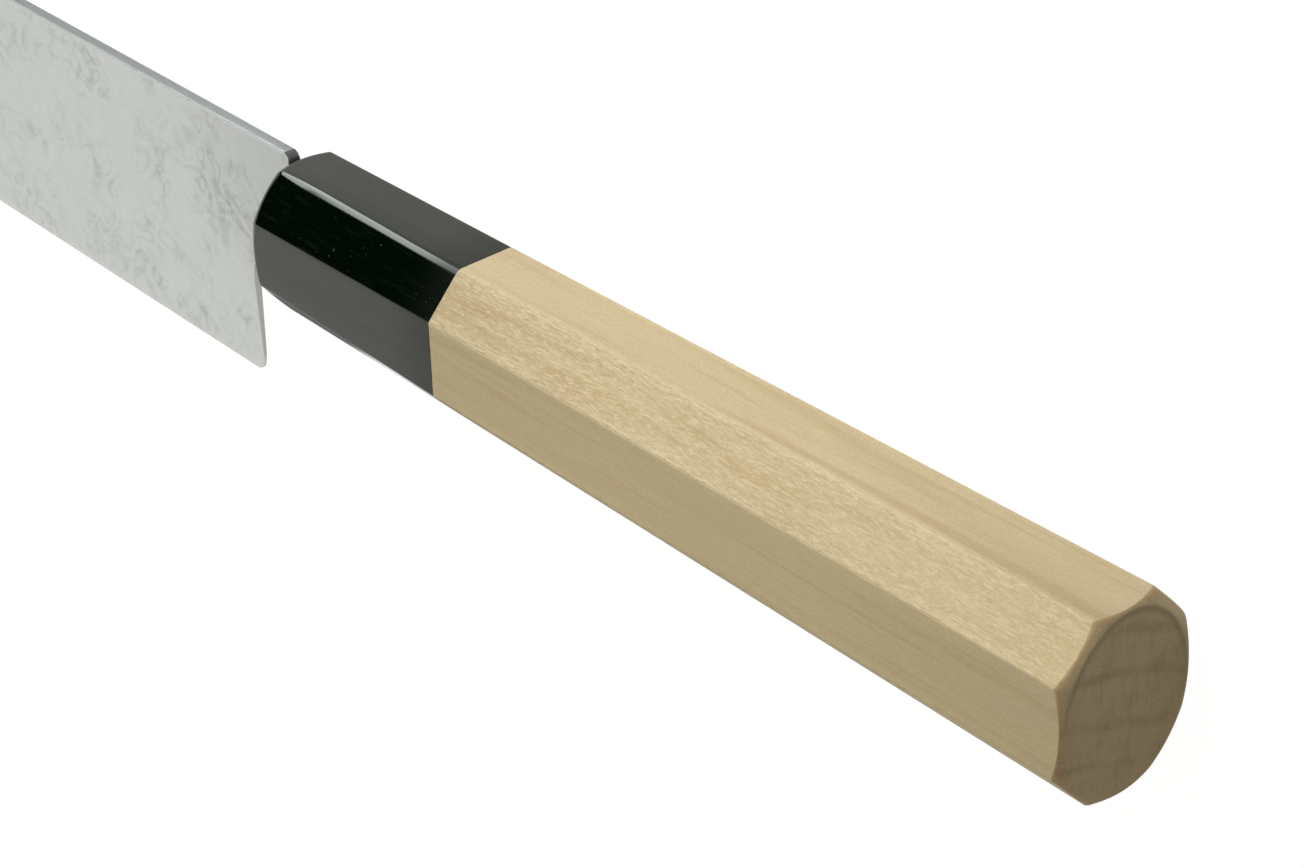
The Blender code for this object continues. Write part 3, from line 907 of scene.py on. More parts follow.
class Wire:
    """The output of a node, on which arithmetic adds Math nodes."""

    def __init__(self, graph: "Graph", socket: bpy.types.NodeSocket) -> None:
        """Keep the socket and the graph that it belongs to."""
        self.graph = graph
        self.socket = socket

    def math(self, operation: str, *values: Input) -> "Wire":
        """A Math node that takes values in order."""
        return self.graph.node("ShaderNodeMath", {"operation": operation}, dict(enumerate(values)))

    def __add__(self, other: Input) -> "Wire":
        """Sum."""
        return self.math("ADD", self, other)

    def __radd__(self, other: Input) -> "Wire":
        """Sum, with the number first."""
        return self.math("ADD", other, self)

    def __sub__(self, other: Input) -> "Wire":
        """Difference."""
        return self.math("SUBTRACT", self, other)

    def __rsub__(self, other: Input) -> "Wire":
        """Difference, with the number first."""
        return self.math("SUBTRACT", other, self)

    def __mul__(self, other: Input) -> "Wire":
        """Product."""
        return self.math("MULTIPLY", self, other)

    def __rmul__(self, other: Input) -> "Wire":
        """Product, with the number first."""
        return self.math("MULTIPLY", other, self)

    def __truediv__(self, other: Input) -> "Wire":
        """Quotient."""
        return self.math("DIVIDE", self, other)

    def __rtruediv__(self, other: Input) -> "Wire":
        """Quotient, with the number first."""
        return self.math("DIVIDE", other, self)

    def root(self) -> "Wire":
        """Square root."""
        return self.math("SQRT", self)

    def size(self) -> "Wire":
        """The value without its sign."""
        return self.math("ABSOLUTE", self)

    def clamped(self) -> "Wire":
        """The value kept between 0 and 1."""
        return self.math("MINIMUM", self.math("MAXIMUM", self, 0.0), 1.0)

    def waves(self) -> "Wire":
        """Up and down between 0 and 1, once for each whole number."""
        return self.math("PINGPONG", self, 0.5) * 2.0

    def between(self, low: float, high: float) -> "Wire":
        """0 below low, 1 above high, and smooth between."""
        settings = {"interpolation_type": "SMOOTHSTEP"}
        return self.graph.node("ShaderNodeMapRange", settings, {0: self, 1: low, 2: high})


class Graph:
    """A node tree that is written as expressions, with each axis and pattern made once."""

    def __init__(self, tree: bpy.types.NodeTree) -> None:
        """Start from an empty tree.

        Args:
            tree: The material's or the world's tree.
        """
        self.tree = tree
        self.made: dict[Any, Wire] = {}
        tree.nodes.clear()

    def node(self, kind: str, settings: Mapping[str, Any], inputs: Mapping[Any, Input],
             output: Union[int, str] = 0) -> Wire:
        """Add a node.

        Args:
            kind: The node's type.
            settings: Its properties, set first.
            inputs: Values or wires for its sockets, by name or number.
            output: The output that is returned, by name or number.

        Returns:
            The wire of that output.
        """
        added = self.tree.nodes.new(kind)
        for name, value in settings.items():
            setattr(added, name, value)
        for key, value in inputs.items():
            socket = added.inputs[key]
            if isinstance(value, Wire):
                self.tree.links.new(value.socket, socket)
            elif isinstance(value, tuple) and len(value) == 3 and socket.type == "RGBA":
                socket.default_value = (*value, 1.0)
            else:
                socket.default_value = value
        return Wire(self, added.outputs[output]) if len(added.outputs) else Wire(self, None)

    def once(self, key: Any, make: Callable[[], Wire]) -> Wire:
        """The wire kept under a key, made when it is first asked for.

        Args:
            key: What the wire stands for.
            make: Makes it.

        Returns:
            The wire.
        """
        if key not in self.made:
            self.made[key] = make()
        return self.made[key]

    def place(self, scale: Place = (1.0, 1.0, 1.0), location: Place = (0.0, 0.0, 0.0)) -> Wire:
        """Object coordinates, scaled and moved by a Mapping node.

        Args:
            scale: Factor on each axis.
            location: What is added after it.

        Returns:
            The place as a vector.
        """
        coordinates = self.node("ShaderNodeTexCoord", {}, {}, "Object")
        sockets = {"Vector": coordinates, "Location": location, "Scale": scale}
        return self.node("ShaderNodeMapping", {}, sockets)

    def axis(self, name: str) -> Wire:
        """The object coordinate X, Y or Z."""
        kind = "ShaderNodeSeparateXYZ"
        return self.once(name, lambda: self.node(kind, {}, {"Vector": self.place()}, name))

    def noise(self, place: Wire, scale: float, detail: float, roughness: float,
              distortion: float = 0.0) -> Wire:
        """Noise at a place, about 0.5 on average.

        Args:
            place: Where it is read, as a vector.
            scale: A further factor on the place.
            detail: Octaves.
            roughness: How much each octave keeps.
            distortion: How far it bends itself.

        Returns:
            Its value.
        """
        sockets = {"Vector": place, "Scale": scale, "Detail": detail, "Roughness": roughness,
                   "Distortion": distortion}
        return self.node("ShaderNodeTexNoise", {}, sockets)

    def grain(self, grain: Grain) -> Wire:
        """The noise of a pattern, spread from 0 to 1 where the pattern has limits.

        Args:
            grain: The pattern.

        Returns:
            Its value.
        """
        def make() -> Wire:
            """Make the nodes."""
            plain = self.noise(self.place(grain.scale), 1.0, grain.detail, grain.roughness)
            return plain.between(*grain.limits) if grain.limits else plain
        return self.once(grain, make)

    def trace(self, trace: Trace) -> Wire:
        """A value kept on the vertices."""
        settings = {"attribute_name": trace.value}
        return self.once(trace, lambda: self.node("ShaderNodeAttribute", settings, {}, "Fac"))

    def mix(self, share: Input, first: Input, second: Input) -> Wire:
        """A colour between two colours."""
        return self.node("ShaderNodeMix", {"data_type": "RGBA"}, {0: share, 6: first, 7: second}, 2)

    def over(self, tone: Input, *coats: tuple[Wire, Colour]) -> Wire:
        """A tone with colours laid over it in order, each by its share.

        Args:
            tone: The ground colour.
            coats: Shares and colours, the lowest first.

        Returns:
            The colour on top.
        """
        for share, colour in coats:
            tone = self.mix(share, tone, colour)
        return tone

    def times(self, colour: Input, factor: Wire) -> Wire:
        """A colour multiplied by a number."""
        sockets = {0: 1.0, 6: colour, 7: factor}
        return self.node("ShaderNodeMix", {"data_type": "RGBA", "blend_type": "MULTIPLY"}, sockets, 2)

    def bump(self, height: Wire, distance: float) -> Wire:
        """A normal that leans with a height of the given depth."""
        sockets = {"Height": height, "Distance": distance, "Strength": 1.0}
        return self.node("ShaderNodeBump", {}, sockets)

    def either(self, *outputs: str) -> Wire:
        """1 for rays of any of the named kinds, else 0.

        Args:
            outputs: Outputs of the Light Path node.

        Returns:
            1 or 0.
        """
        first, *others = [self.node("ShaderNodeLightPath", {}, {}, name) for name in outputs]
        for other in others:
            first = first.math("MAXIMUM", first, other)
        return first


def shaded(name: str, shader: Callable[[Graph], Wire]) -> bpy.types.Material:
    """A material whose surface is the shader that a function makes in its graph.

    Args:
        name: Name of the material.
        shader: Makes the shader in the graph it is given.

    Returns:
        The material.
    """
    material = bpy.data.materials.new(name)
    material.use_nodes = True
    graph = Graph(material.node_tree)
    graph.node("ShaderNodeOutputMaterial", {}, {"Surface": shader(graph)})
    return material


class Finish:
    """A material that a piece can wear."""

    name = "finish"

    def principled(self, graph: Graph) -> dict[str, Input]:
        """Values and wires for the Principled shader's sockets."""
        raise NotImplementedError

    def shader(self, graph: Graph) -> Wire:
        """The Principled shader of the finish."""
        return graph.node("ShaderNodeBsdfPrincipled", {}, self.principled(graph))


@dataclass(frozen=True)
class LayeredSteel(Finish):
    """Polished steel with faint swirls where its layers come to the surface."""

    name: str = "layered_steel"
    colour: Colour = (0.548, 0.562, 0.528)
    line_colour: Colour = (0.300, 0.312, 0.296)
    # Painted highlight: the eased border is coloured lighter than the steel around it.
    eased_highlight_colour: Colour = (0.620, 0.635, 0.600)
    spine_colour: Colour = (0.330, 0.336, 0.330)
    back_colour: Colour = (0.450, 0.460, 0.440)
    # Painted dark reflection: the shoulder's back is coloured darker, standing in for the black
    # ferrule it mirrors.
    shoulder_reflection_colour: Colour = (0.170, 0.176, 0.168)
    clouds: Grain = Grain((60.0, 60.0, 60.0), 4.0)
    cloud_tone: Span = (0.965, 1.035)
    scratches: Grain = Grain((260.0, 6000.0, 260.0), 2.0)
    scratch_depth: float = 0.0000004
    roughness: float = 0.16
    line_roughness: float = 0.26
    eased_roughness: float = 0.42
    back_roughness: float = 0.2
    scratch_roughness: float = 0.03
    swirl_sizes: Span = (0.0062, 0.0034)
    swirl_lines: Span = (6.0, 4.0)
    swirl_starts: Span = (0.30, 0.55)
    swirl_shifts: Span = (0.0, 0.37)
    swirl_noise: Place = (1.2, 0.4, 0.12)
    swirl_shares: Span = (0.27, 0.34)
    swirl_patches: Grain = Grain((100.0, 100.0, 100.0), 2.0, limits=(0.39, 0.66))
    least_in_patches: float = 0.16
    least_far_out: float = 0.20
    grown_x: Span = (-0.110, 0.050)
    grown_share: float = 0.12
    neck_x: Span = (0.022, 0.052)
    neck_y: Span = (-0.014, 0.010)
    neck_share: float = 0.36
    spine_border: Span = (0.00001, 0.00008)
    eased_border: Span = (0.00024, 0.00042)
    back_border: Span = (0.00004, 0.00022)
    shoulder_x: Span = (0.0516, 0.0521)

    def swirls(self, graph: Graph, size: float, lines: float, start: float, shift: float) -> Wire:
        """Level lines of a smooth noise, which close into round loops."""
        level = graph.noise(graph.place(location=(shift, 0.0, 0.0)), 1.0 / size, *self.swirl_noise)
        return (level * lines).waves().between(start, 1.0)

    def principled(self, graph: Graph) -> dict[str, Input]:
        """Swirls overlap in patches and near the heel, and the back edges are left dull. The eased
        border has a painted highlight and the shoulder's back a painted dark reflection.

        Args:
            graph: The finish's graph.

        Returns:
            Inputs of the Principled shader, by name.
        """
        x, y = graph.axis("X"), graph.axis("Y")
        kinds = zip(self.swirl_sizes, self.swirl_lines, self.swirl_starts, self.swirl_shifts)
        large, small = [self.swirls(graph, *kind) * share
                        for kind, share in zip(kinds, self.swirl_shares)]
        grown = x.between(*self.grown_x)
        shown = (lerp(self.least_in_patches, 1.0, graph.grain(self.swirl_patches))
                 * lerp(self.least_far_out, 1.0, grown))
        neck = x.between(*self.neck_x) * y.between(*self.neck_y) * self.neck_share
        layers = ((large + small + grown * self.grown_share) * shown + neck).clamped()
        below = graph.trace(Trace.BELOW_SPINE)
        spine = 1.0 - below.between(*self.spine_border)
        eased = 1.0 - below.between(*self.eased_border)
        back = 1.0 - graph.trace(Trace.FROM_BACK).between(*self.back_border)
        tone = graph.over(
            graph.mix(layers, self.colour, self.line_colour),
            # painted highlight on the eased border
            (eased, self.eased_highlight_colour),
            (spine, self.spine_colour),
            (back, self.back_colour),
            # painted dark reflection of the ferrule on the shoulder's back
            (back * x.between(*self.shoulder_x), self.shoulder_reflection_colour),
        )
        scratches = graph.grain(self.scratches)
        gloss = lerp(self.roughness, self.line_roughness, layers)
        gloss = gloss + eased * (self.eased_roughness - self.roughness) + back * self.back_roughness
        return {
            "Base Color": graph.times(tone, lerp(*self.cloud_tone, graph.grain(self.clouds))),
            "Metallic": 1.0,
            "Roughness": gloss.clamped() + scratches * self.scratch_roughness,
            "Normal": graph.bump(scratches, self.scratch_depth),
        }


@dataclass(frozen=True)
class BuffaloHorn(Finish):
    """Polished black horn, duller by the joint, with faint fibres and tiny pale specks."""

    name: str = "buffalo_horn"
    colour: Colour = (0.0010, 0.0032, 0.0016)
    fibre_colour: Colour = (0.0044, 0.0086, 0.0054)
    speck_colour: Colour = (0.09, 0.10, 0.09)
    fibres: Grain = Grain((170.0, 1500.0, 1500.0), 3.0)
    fibre_limits: Span = (0.54, 0.78)
    fibre_depth: float = 0.0000006
    specks: Grain = Grain((2600.0, 2600.0, 2600.0), 1.0, limits=(0.72, 0.80))
    speck_groups: Grain = Grain((300.0, 300.0, 300.0), 1.0, limits=(0.44, 0.64))
    marks: Grain = Grain((26.0, 3400.0, 3400.0), 1.0, limits=(0.77, 0.83))
    mark_share: float = 0.25
    joint_x: Span = (0.0815, 0.0920)
    roughness: float = 0.07
    fibre_roughness: float = 0.02
    speck_roughness: float = 0.3
    joint_roughness: float = 0.17
    refraction: float = 1.32
    # Painted warm light: the specular tint turns every reflection on the horn yellowish.
    tint: Colour = (0.98, 1.00, 0.66)
    coat: float = 0.36
    coat_refraction: float = 1.5
    coat_streaks: Grain = Grain((40.0, 420.0, 420.0), 2.0)
    coat_change: Span = (0.70, 1.30)
    coat_lost_at_joint: float = 0.60

    def principled(self, graph: Graph) -> dict[str, Input]:
        """Fibres are noise drawn out along the handle, and specks the tops of a fine noise.

        Args:
            graph: The finish's graph.

        Returns:
            Inputs of the Principled shader, by name.
        """
        joint = graph.axis("X").between(*self.joint_x)
        fibres = graph.grain(self.fibres)
        specks = graph.grain(self.specks) * graph.grain(self.speck_groups)
        marks = graph.grain(self.marks) * self.mark_share
        coat = self.coat * lerp(*self.coat_change, graph.grain(self.coat_streaks))
        return {
            "Base Color": graph.over(
                self.colour,
                (fibres.between(*self.fibre_limits), self.fibre_colour),
                ((specks + marks).clamped(), self.speck_colour),
            ),
            "Roughness": (self.roughness + fibres * self.fibre_roughness
                          + specks * self.speck_roughness + joint * self.joint_roughness),
            "IOR": self.refraction,
            "Specular Tint": self.tint,
            "Coat Weight": coat * (1.0 - joint * self.coat_lost_at_joint),
            "Coat IOR": self.coat_refraction,
            "Coat Roughness": self.roughness,
            "Normal": graph.bump(fibres, self.fibre_depth),
        }


@dataclass(frozen=True)
class BareWood(Finish):
    """Bare sanded wood, solid all through: growth rings round a pith outside it."""

    name: str = "magnolia_wood"
    pale: Colour = (0.640, 0.530, 0.332)
    late: Colour = (0.500, 0.385, 0.212)
    light: Colour = (0.780, 0.680, 0.470)
    brown: Colour = (0.545, 0.400, 0.226)
    streak_colour: Colour = (0.480, 0.340, 0.190)
    end_colour: Colour = (0.392, 0.300, 0.172)
    end_late: Colour = (0.250, 0.178, 0.096)
    rim_colour: Colour = (0.400, 0.240, 0.110)
    crease_colour: Colour = (0.130, 0.085, 0.045)
    wander: Grain = Grain((11.0, 80.0, 80.0), 3.0)
    clouds: Grain = Grain((20.0, 150.0, 150.0), 3.0)
    uneven: Grain = Grain((9.0, 260.0, 260.0), 2.0, limits=(0.30, 0.75))
    fibres: Grain = Grain((130.0, 3000.0, 3000.0), 3.0, 0.6)
    lines: Grain = Grain((26.0, 1300.0, 1300.0), 2.0, limits=(0.55, 0.70))
    speckle: Grain = Grain((2600.0, 4600.0, 4600.0), 2.0, 0.7, (0.25, 0.75))
    flecks: Grain = Grain((680.0, 4400.0, 4400.0), 3.0, 0.7)
    patches: Grain = Grain((60.0, 600.0, 600.0), 3.0, 0.6, (0.44, 0.68))
    pores: Grain = Grain((180.0, 3200.0, 3200.0), 1.0, limits=(0.70, 0.78))
    stain: Grain = Grain((40.0, 330.0, 330.0), 3.0, limits=(0.42, 0.78))
    pith: Span = (-0.0316, 0.0257)
    slant: float = 0.022
    ring_width: float = 0.0034
    ring_wander: float = 1.3
    ring_limits: Span = (0.45, 1.0)
    ring_share: float = 0.45
    pale_x: Span = (0.090, 0.190)
    brown_shares: Place = (0.15, 0.75, 0.50)
    light_limits: Span = (0.50, 0.68)
    light_shares: Place = (0.10, 0.72, 0.24)
    late_limits: Span = (0.30, 0.50)
    late_shares: Place = (0.12, 0.70, 0.36)
    line_share: float = 0.45
    worn_limits: Span = (0.35, 0.62)
    worn_lost_where_pale: float = 0.5
    # Lighter ridges: partly wear, partly a painted highlight.
    ridge_wear_and_highlight_share: float = 0.45
    streak_x: Span = (0.125, 0.175)
    streak_y: Span = (0.01675, 0.01775)
    streak_z: float = 0.01345
    streak_wander: float = 0.002
    streak_widths: Span = (0.00040, 0.00112)
    streak_border: Span = (0.2, 1.0)
    streak_growth: Span = (0.0, 0.3)
    streak_share: float = 0.48
    joint_x: Span = (0.088, 0.128)
    butt_x: Span = (0.150, 0.200)
    # Painted light and shade: brightness factors at the joint, past it and towards the butt, for all
    # flats and extra for the bevels.
    flat_painted_shade: Place = (0.965, 0.04, -0.12)
    bevel_painted_shade: Place = (-0.095, 0.10, 0.14)
    side_base: float = 0.77
    side_change: float = 0.14
    cut_ring_width: float = 0.0052
    cut_ring_wander: float = 0.6
    cut_ring_limits: Span = (0.55, 1.0)
    cut_ring_clouds: Span = (0.36, 0.60)
    cut_ring_share: float = 0.50
    ray_scale: Place = (40.0, 240.0, 1500.0)
    ray_noise: Span = (2.0, 0.6)
    ray_limits: Span = (0.35, 0.75)
    ray_share: float = 0.28
    stain_share: float = 0.45
    cut_late_off: float = 0.08
    arc_radius: float = 0.0496
    arc_width: float = 0.0011
    arc_share: float = 0.50
    cut_tone: Span = (0.80, 1.06)
    pore_share: float = 0.5
    # Painted shade along the crease at the top of the butt's rim.
    crease_shade_y: Span = (0.004, 0.015)
    crease_shade_share: float = 0.92
    # Painted shade on the lower part of the butt's rim band.
    band_shade_y: Span = (0.004, 0.017)
    band_shade_grain: Span = (0.30, 0.45)
    rim_starts: Span = (0.35, 0.45)
    rim_ends: Span = (0.46, 0.52)
    rim_share: float = 0.45
    roughness: float = 0.58
    fibre_roughness: float = 0.08
    fleck_height: Span = (0.3, 1.0)
    grain_depth: float = 0.000014

    def from_pith(self, graph: Graph) -> Wire:
        """Distance from a pith that slants to the handle.

        Args:
            graph: The finish's graph.

        Returns:
            The distance in metres.
        """
        across = graph.axis("Y") - self.pith[0] + graph.axis("X") * self.slant
        deep = graph.axis("Z") - self.pith[1]
        return (across * across + deep * deep).root()

    def streak(self, graph: Graph) -> Wire:
        """A brown streak along the upper ridge, which widens to the butt.

        Args:
            graph: The finish's graph.

        Returns:
            1 on the streak, 0 off it.
        """
        grown = graph.axis("X").between(*self.streak_x)
        wander = (graph.grain(self.clouds) - NOISE_MEAN) * self.streak_wander
        aside = (graph.axis("Z") - self.streak_z + wander).size()
        streak = 1.0 - (aside / lerp(*self.streak_widths, grown)).between(*self.streak_border)
        on_top = graph.axis("Y").between(*self.streak_y)
        return streak * grown.between(*self.streak_growth) * on_top

    def side_tone(self, graph: Graph, radius: Wire, wander: Wire) -> Wire:
        """The sides: late wood, browner patches, a streak, brown lines, flecks on bevels, ridges
        lightened by wear and a painted highlight, and painted light and shade along the handle and on
        the bevels.

        Args:
            graph: The finish's graph.
            radius: Distance from the pith.
            wander: How far the growth rings stray from circles.

        Returns:
            The colour along the grain.
        """
        x, bevel, flecks = graph.axis("X"), graph.trace(Trace.BEVEL), graph.grain(self.flecks)
        pale = x.between(*self.pale_x)
        late = (radius / self.ring_width + wander * self.ring_wander).waves()
        late = late.between(*self.ring_limits) * graph.grain(self.uneven)
        # Lighter ridges, partly wear and partly a painted highlight.
        worn = graph.trace(Trace.WEAR) * flecks.between(*self.worn_limits)

        def by_bevel(mask: Wire, shares: Place) -> Wire:
            """A mask by its share on the flats, what bevels add, and what that loses where pale."""
            flat, added, lost = shares
            return mask * (flat + bevel * (added - pale * lost))

        tone = graph.over(
            self.pale,
            (late * self.ring_share, self.late),
            (by_bevel(graph.grain(self.patches), self.brown_shares), self.brown),
            (self.streak(graph) * self.streak_share, self.streak_colour),
            (by_bevel(flecks.between(*self.light_limits), self.light_shares), self.light),
            (by_bevel(1.0 - flecks.between(*self.late_limits), self.late_shares), self.late),
            (graph.grain(self.lines) * (1.0 - bevel) * self.line_share, self.brown),
            (worn * (1.0 - pale * self.worn_lost_where_pale) * self.ridge_wear_and_highlight_share, self.light),
        )
        # Painted light and shade: the sides are made lighter or darker along the handle, and the
        # bevels apart from the other flats.
        joint, butt = x.between(*self.joint_x), x.between(*self.butt_x)
        flat, on_bevel = [first + joint * behind + butt * last
                          for first, behind, last in (self.flat_painted_shade, self.bevel_painted_shade)]
        texture = graph.grain(self.fibres) + graph.grain(self.clouds) + graph.grain(self.speckle)
        texture = self.side_base + texture * self.side_change
        return graph.times(tone, (flat + bevel * on_bevel) * texture)

    def end_tone(self, graph: Graph, radius: Wire, wander: Wire) -> Wire:
        """The cut at the butt: rings, rays round the pith, stains, an arc, pores and painted shade
        along the crease.

        Args:
            graph: The finish's graph.
            radius: Distance from the pith.
            wander: How far the growth rings stray from circles.

        Returns:
            The colour across the grain.
        """
        clouds = graph.grain(self.clouds)
        stretched = zip((graph.axis("X"), radius, graph.axis("Z")), self.ray_scale)
        spokes = dict(enumerate(part * scale for part, scale in stretched))
        rays = graph.noise(graph.node("ShaderNodeCombineXYZ", {}, spokes), 1.0, *self.ray_noise)
        rings = (radius / self.cut_ring_width + wander * self.cut_ring_wander).waves()
        rings = rings.between(*self.cut_ring_limits) * clouds.between(*self.cut_ring_clouds)
        late = (rings * self.cut_ring_share + rays.between(*self.ray_limits) * self.ray_share
                + graph.grain(self.stain) * self.stain_share - self.cut_late_off)
        arc = 1.0 - ((radius - self.arc_radius).size() / self.arc_width).between(0.0, 1.0)
        tone = graph.over(
            self.end_colour,
            (late.clamped(), self.end_late),
            (arc * clouds * self.arc_share, self.crease_colour),
        )
        pores = 1.0 - graph.grain(self.pores) * self.pore_share
        tone = graph.times(tone, lerp(*self.cut_tone, graph.grain(self.speckle)) * pores)
        # Painted shade: a dark line along the crease between the rim band and the face, on its upper
        # part only.
        crease = graph.trace(Trace.CREASE) * graph.axis("Y").between(*self.crease_shade_y)
        return graph.mix(crease * self.crease_shade_share, tone, self.crease_colour)

    def principled(self, graph: Graph) -> dict[str, Input]:
        """The sides, which turn into the cut over the butt's rim, with painted shade on the rim's
        lower part, and a warm line on the rim.

        Args:
            graph: The finish's graph.

        Returns:
            Inputs of the Principled shader, by name.
        """
        radius = self.from_pith(graph)
        wander = graph.grain(self.wander) - NOISE_MEAN
        fibres = graph.grain(self.fibres)
        end = graph.trace(Trace.END_GRAIN)
        # Painted shade: low on the butt the rim band takes more of the darker cut's tone.
        low = (1.0 - graph.axis("Y").between(*self.band_shade_y)) * end.between(*self.band_shade_grain)
        rim = end.between(*self.rim_starts) * (1.0 - end.between(*self.rim_ends))
        sides = self.side_tone(graph, radius, wander)
        tone = graph.mix(lerp(end, 1.0, low), sides, self.end_tone(graph, radius, wander))
        flecks = graph.grain(self.flecks) * lerp(*self.fleck_height, graph.trace(Trace.BEVEL))
        return {
            "Base Color": graph.mix(rim * self.rim_share, tone, self.rim_colour),
            "Roughness": self.roughness + fibres * self.fibre_roughness,
            "Normal": graph.bump(fibres + flecks, self.grain_depth),
        }


@dataclass(frozen=True)
class SawnWood(Finish):
    """Plain sawn wood of the dowel."""

    name: str = "dowel_wood"
    colour: Colour = (0.66, 0.52, 0.34)
    dark: Colour = (0.50, 0.37, 0.21)
    fibres: Grain = Grain((60.0, 1500.0, 1500.0), 3.0)
    fibre_limits: Span = (0.4, 0.7)
    fibre_depth: float = 0.00002
    roughness: float = 0.65

    def principled(self, graph: Graph) -> dict[str, Input]:
        """Fibres are noise drawn out along the dowel.

        Args:
            graph: The finish's graph.

        Returns:
            Inputs of the Principled shader, by name.
        """
        fibres = graph.grain(self.fibres)
        return {
            "Base Color": graph.mix(fibres.between(*self.fibre_limits), self.colour, self.dark),
            "Roughness": self.roughness,
            "Normal": graph.bump(fibres, self.fibre_depth),
        }


@dataclass(frozen=True)
class SetResin(Finish):
    """Dark resin, set slightly uneven."""

    name: str = "set_resin"
    colour: Colour = (0.030, 0.026, 0.022)
    lumps: Grain = Grain((700.0, 700.0, 700.0), 3.0)
    lump_tone: Span = (0.8, 1.2)
    lump_depth: float = 0.00003
    roughness: Span = (0.42, 0.57)

    def principled(self, graph: Graph) -> dict[str, Input]:
        """Unevenness is a soft noise in the height and in the gloss.

        Args:
            graph: The finish's graph.

        Returns:
            Inputs of the Principled shader, by name.
        """
        lumps = graph.grain(self.lumps)
        return {
            "Base Color": graph.times(self.colour, lerp(*self.lump_tone, lumps)),
            "Roughness": lerp(*self.roughness, lumps),
            "Normal": graph.bump(lumps, self.lump_depth),
        }


# Studio


@dataclass(frozen=True)
class Lamp:
    """A flat lamp that faces a point, seen only by what it lights."""

    name: str
    place: Sequence[float]
    target: Sequence[float]
    width: float
    height: float
    power: float
    in_reflections: bool

    def light(self) -> None:
        """Add the lamp to the scene."""
        data = bpy.data.lights.new(self.name, "AREA")
        data.shape = "RECTANGLE"
        data.size = self.width
        data.size_y = self.height
        data.energy = self.power
        lamp = add_object(self.name, data)
        heading = Vector(self.target) - Vector(self.place)
        turn = heading.to_track_quat("-Z", "Y").to_matrix().to_4x4()
        lamp.matrix_world = Matrix.Translation(self.place) @ turn
        lamp.visible_camera = False
        lamp.visible_glossy = self.in_reflections
        log.info("lamp %s: %.1f W", self.name, self.power)


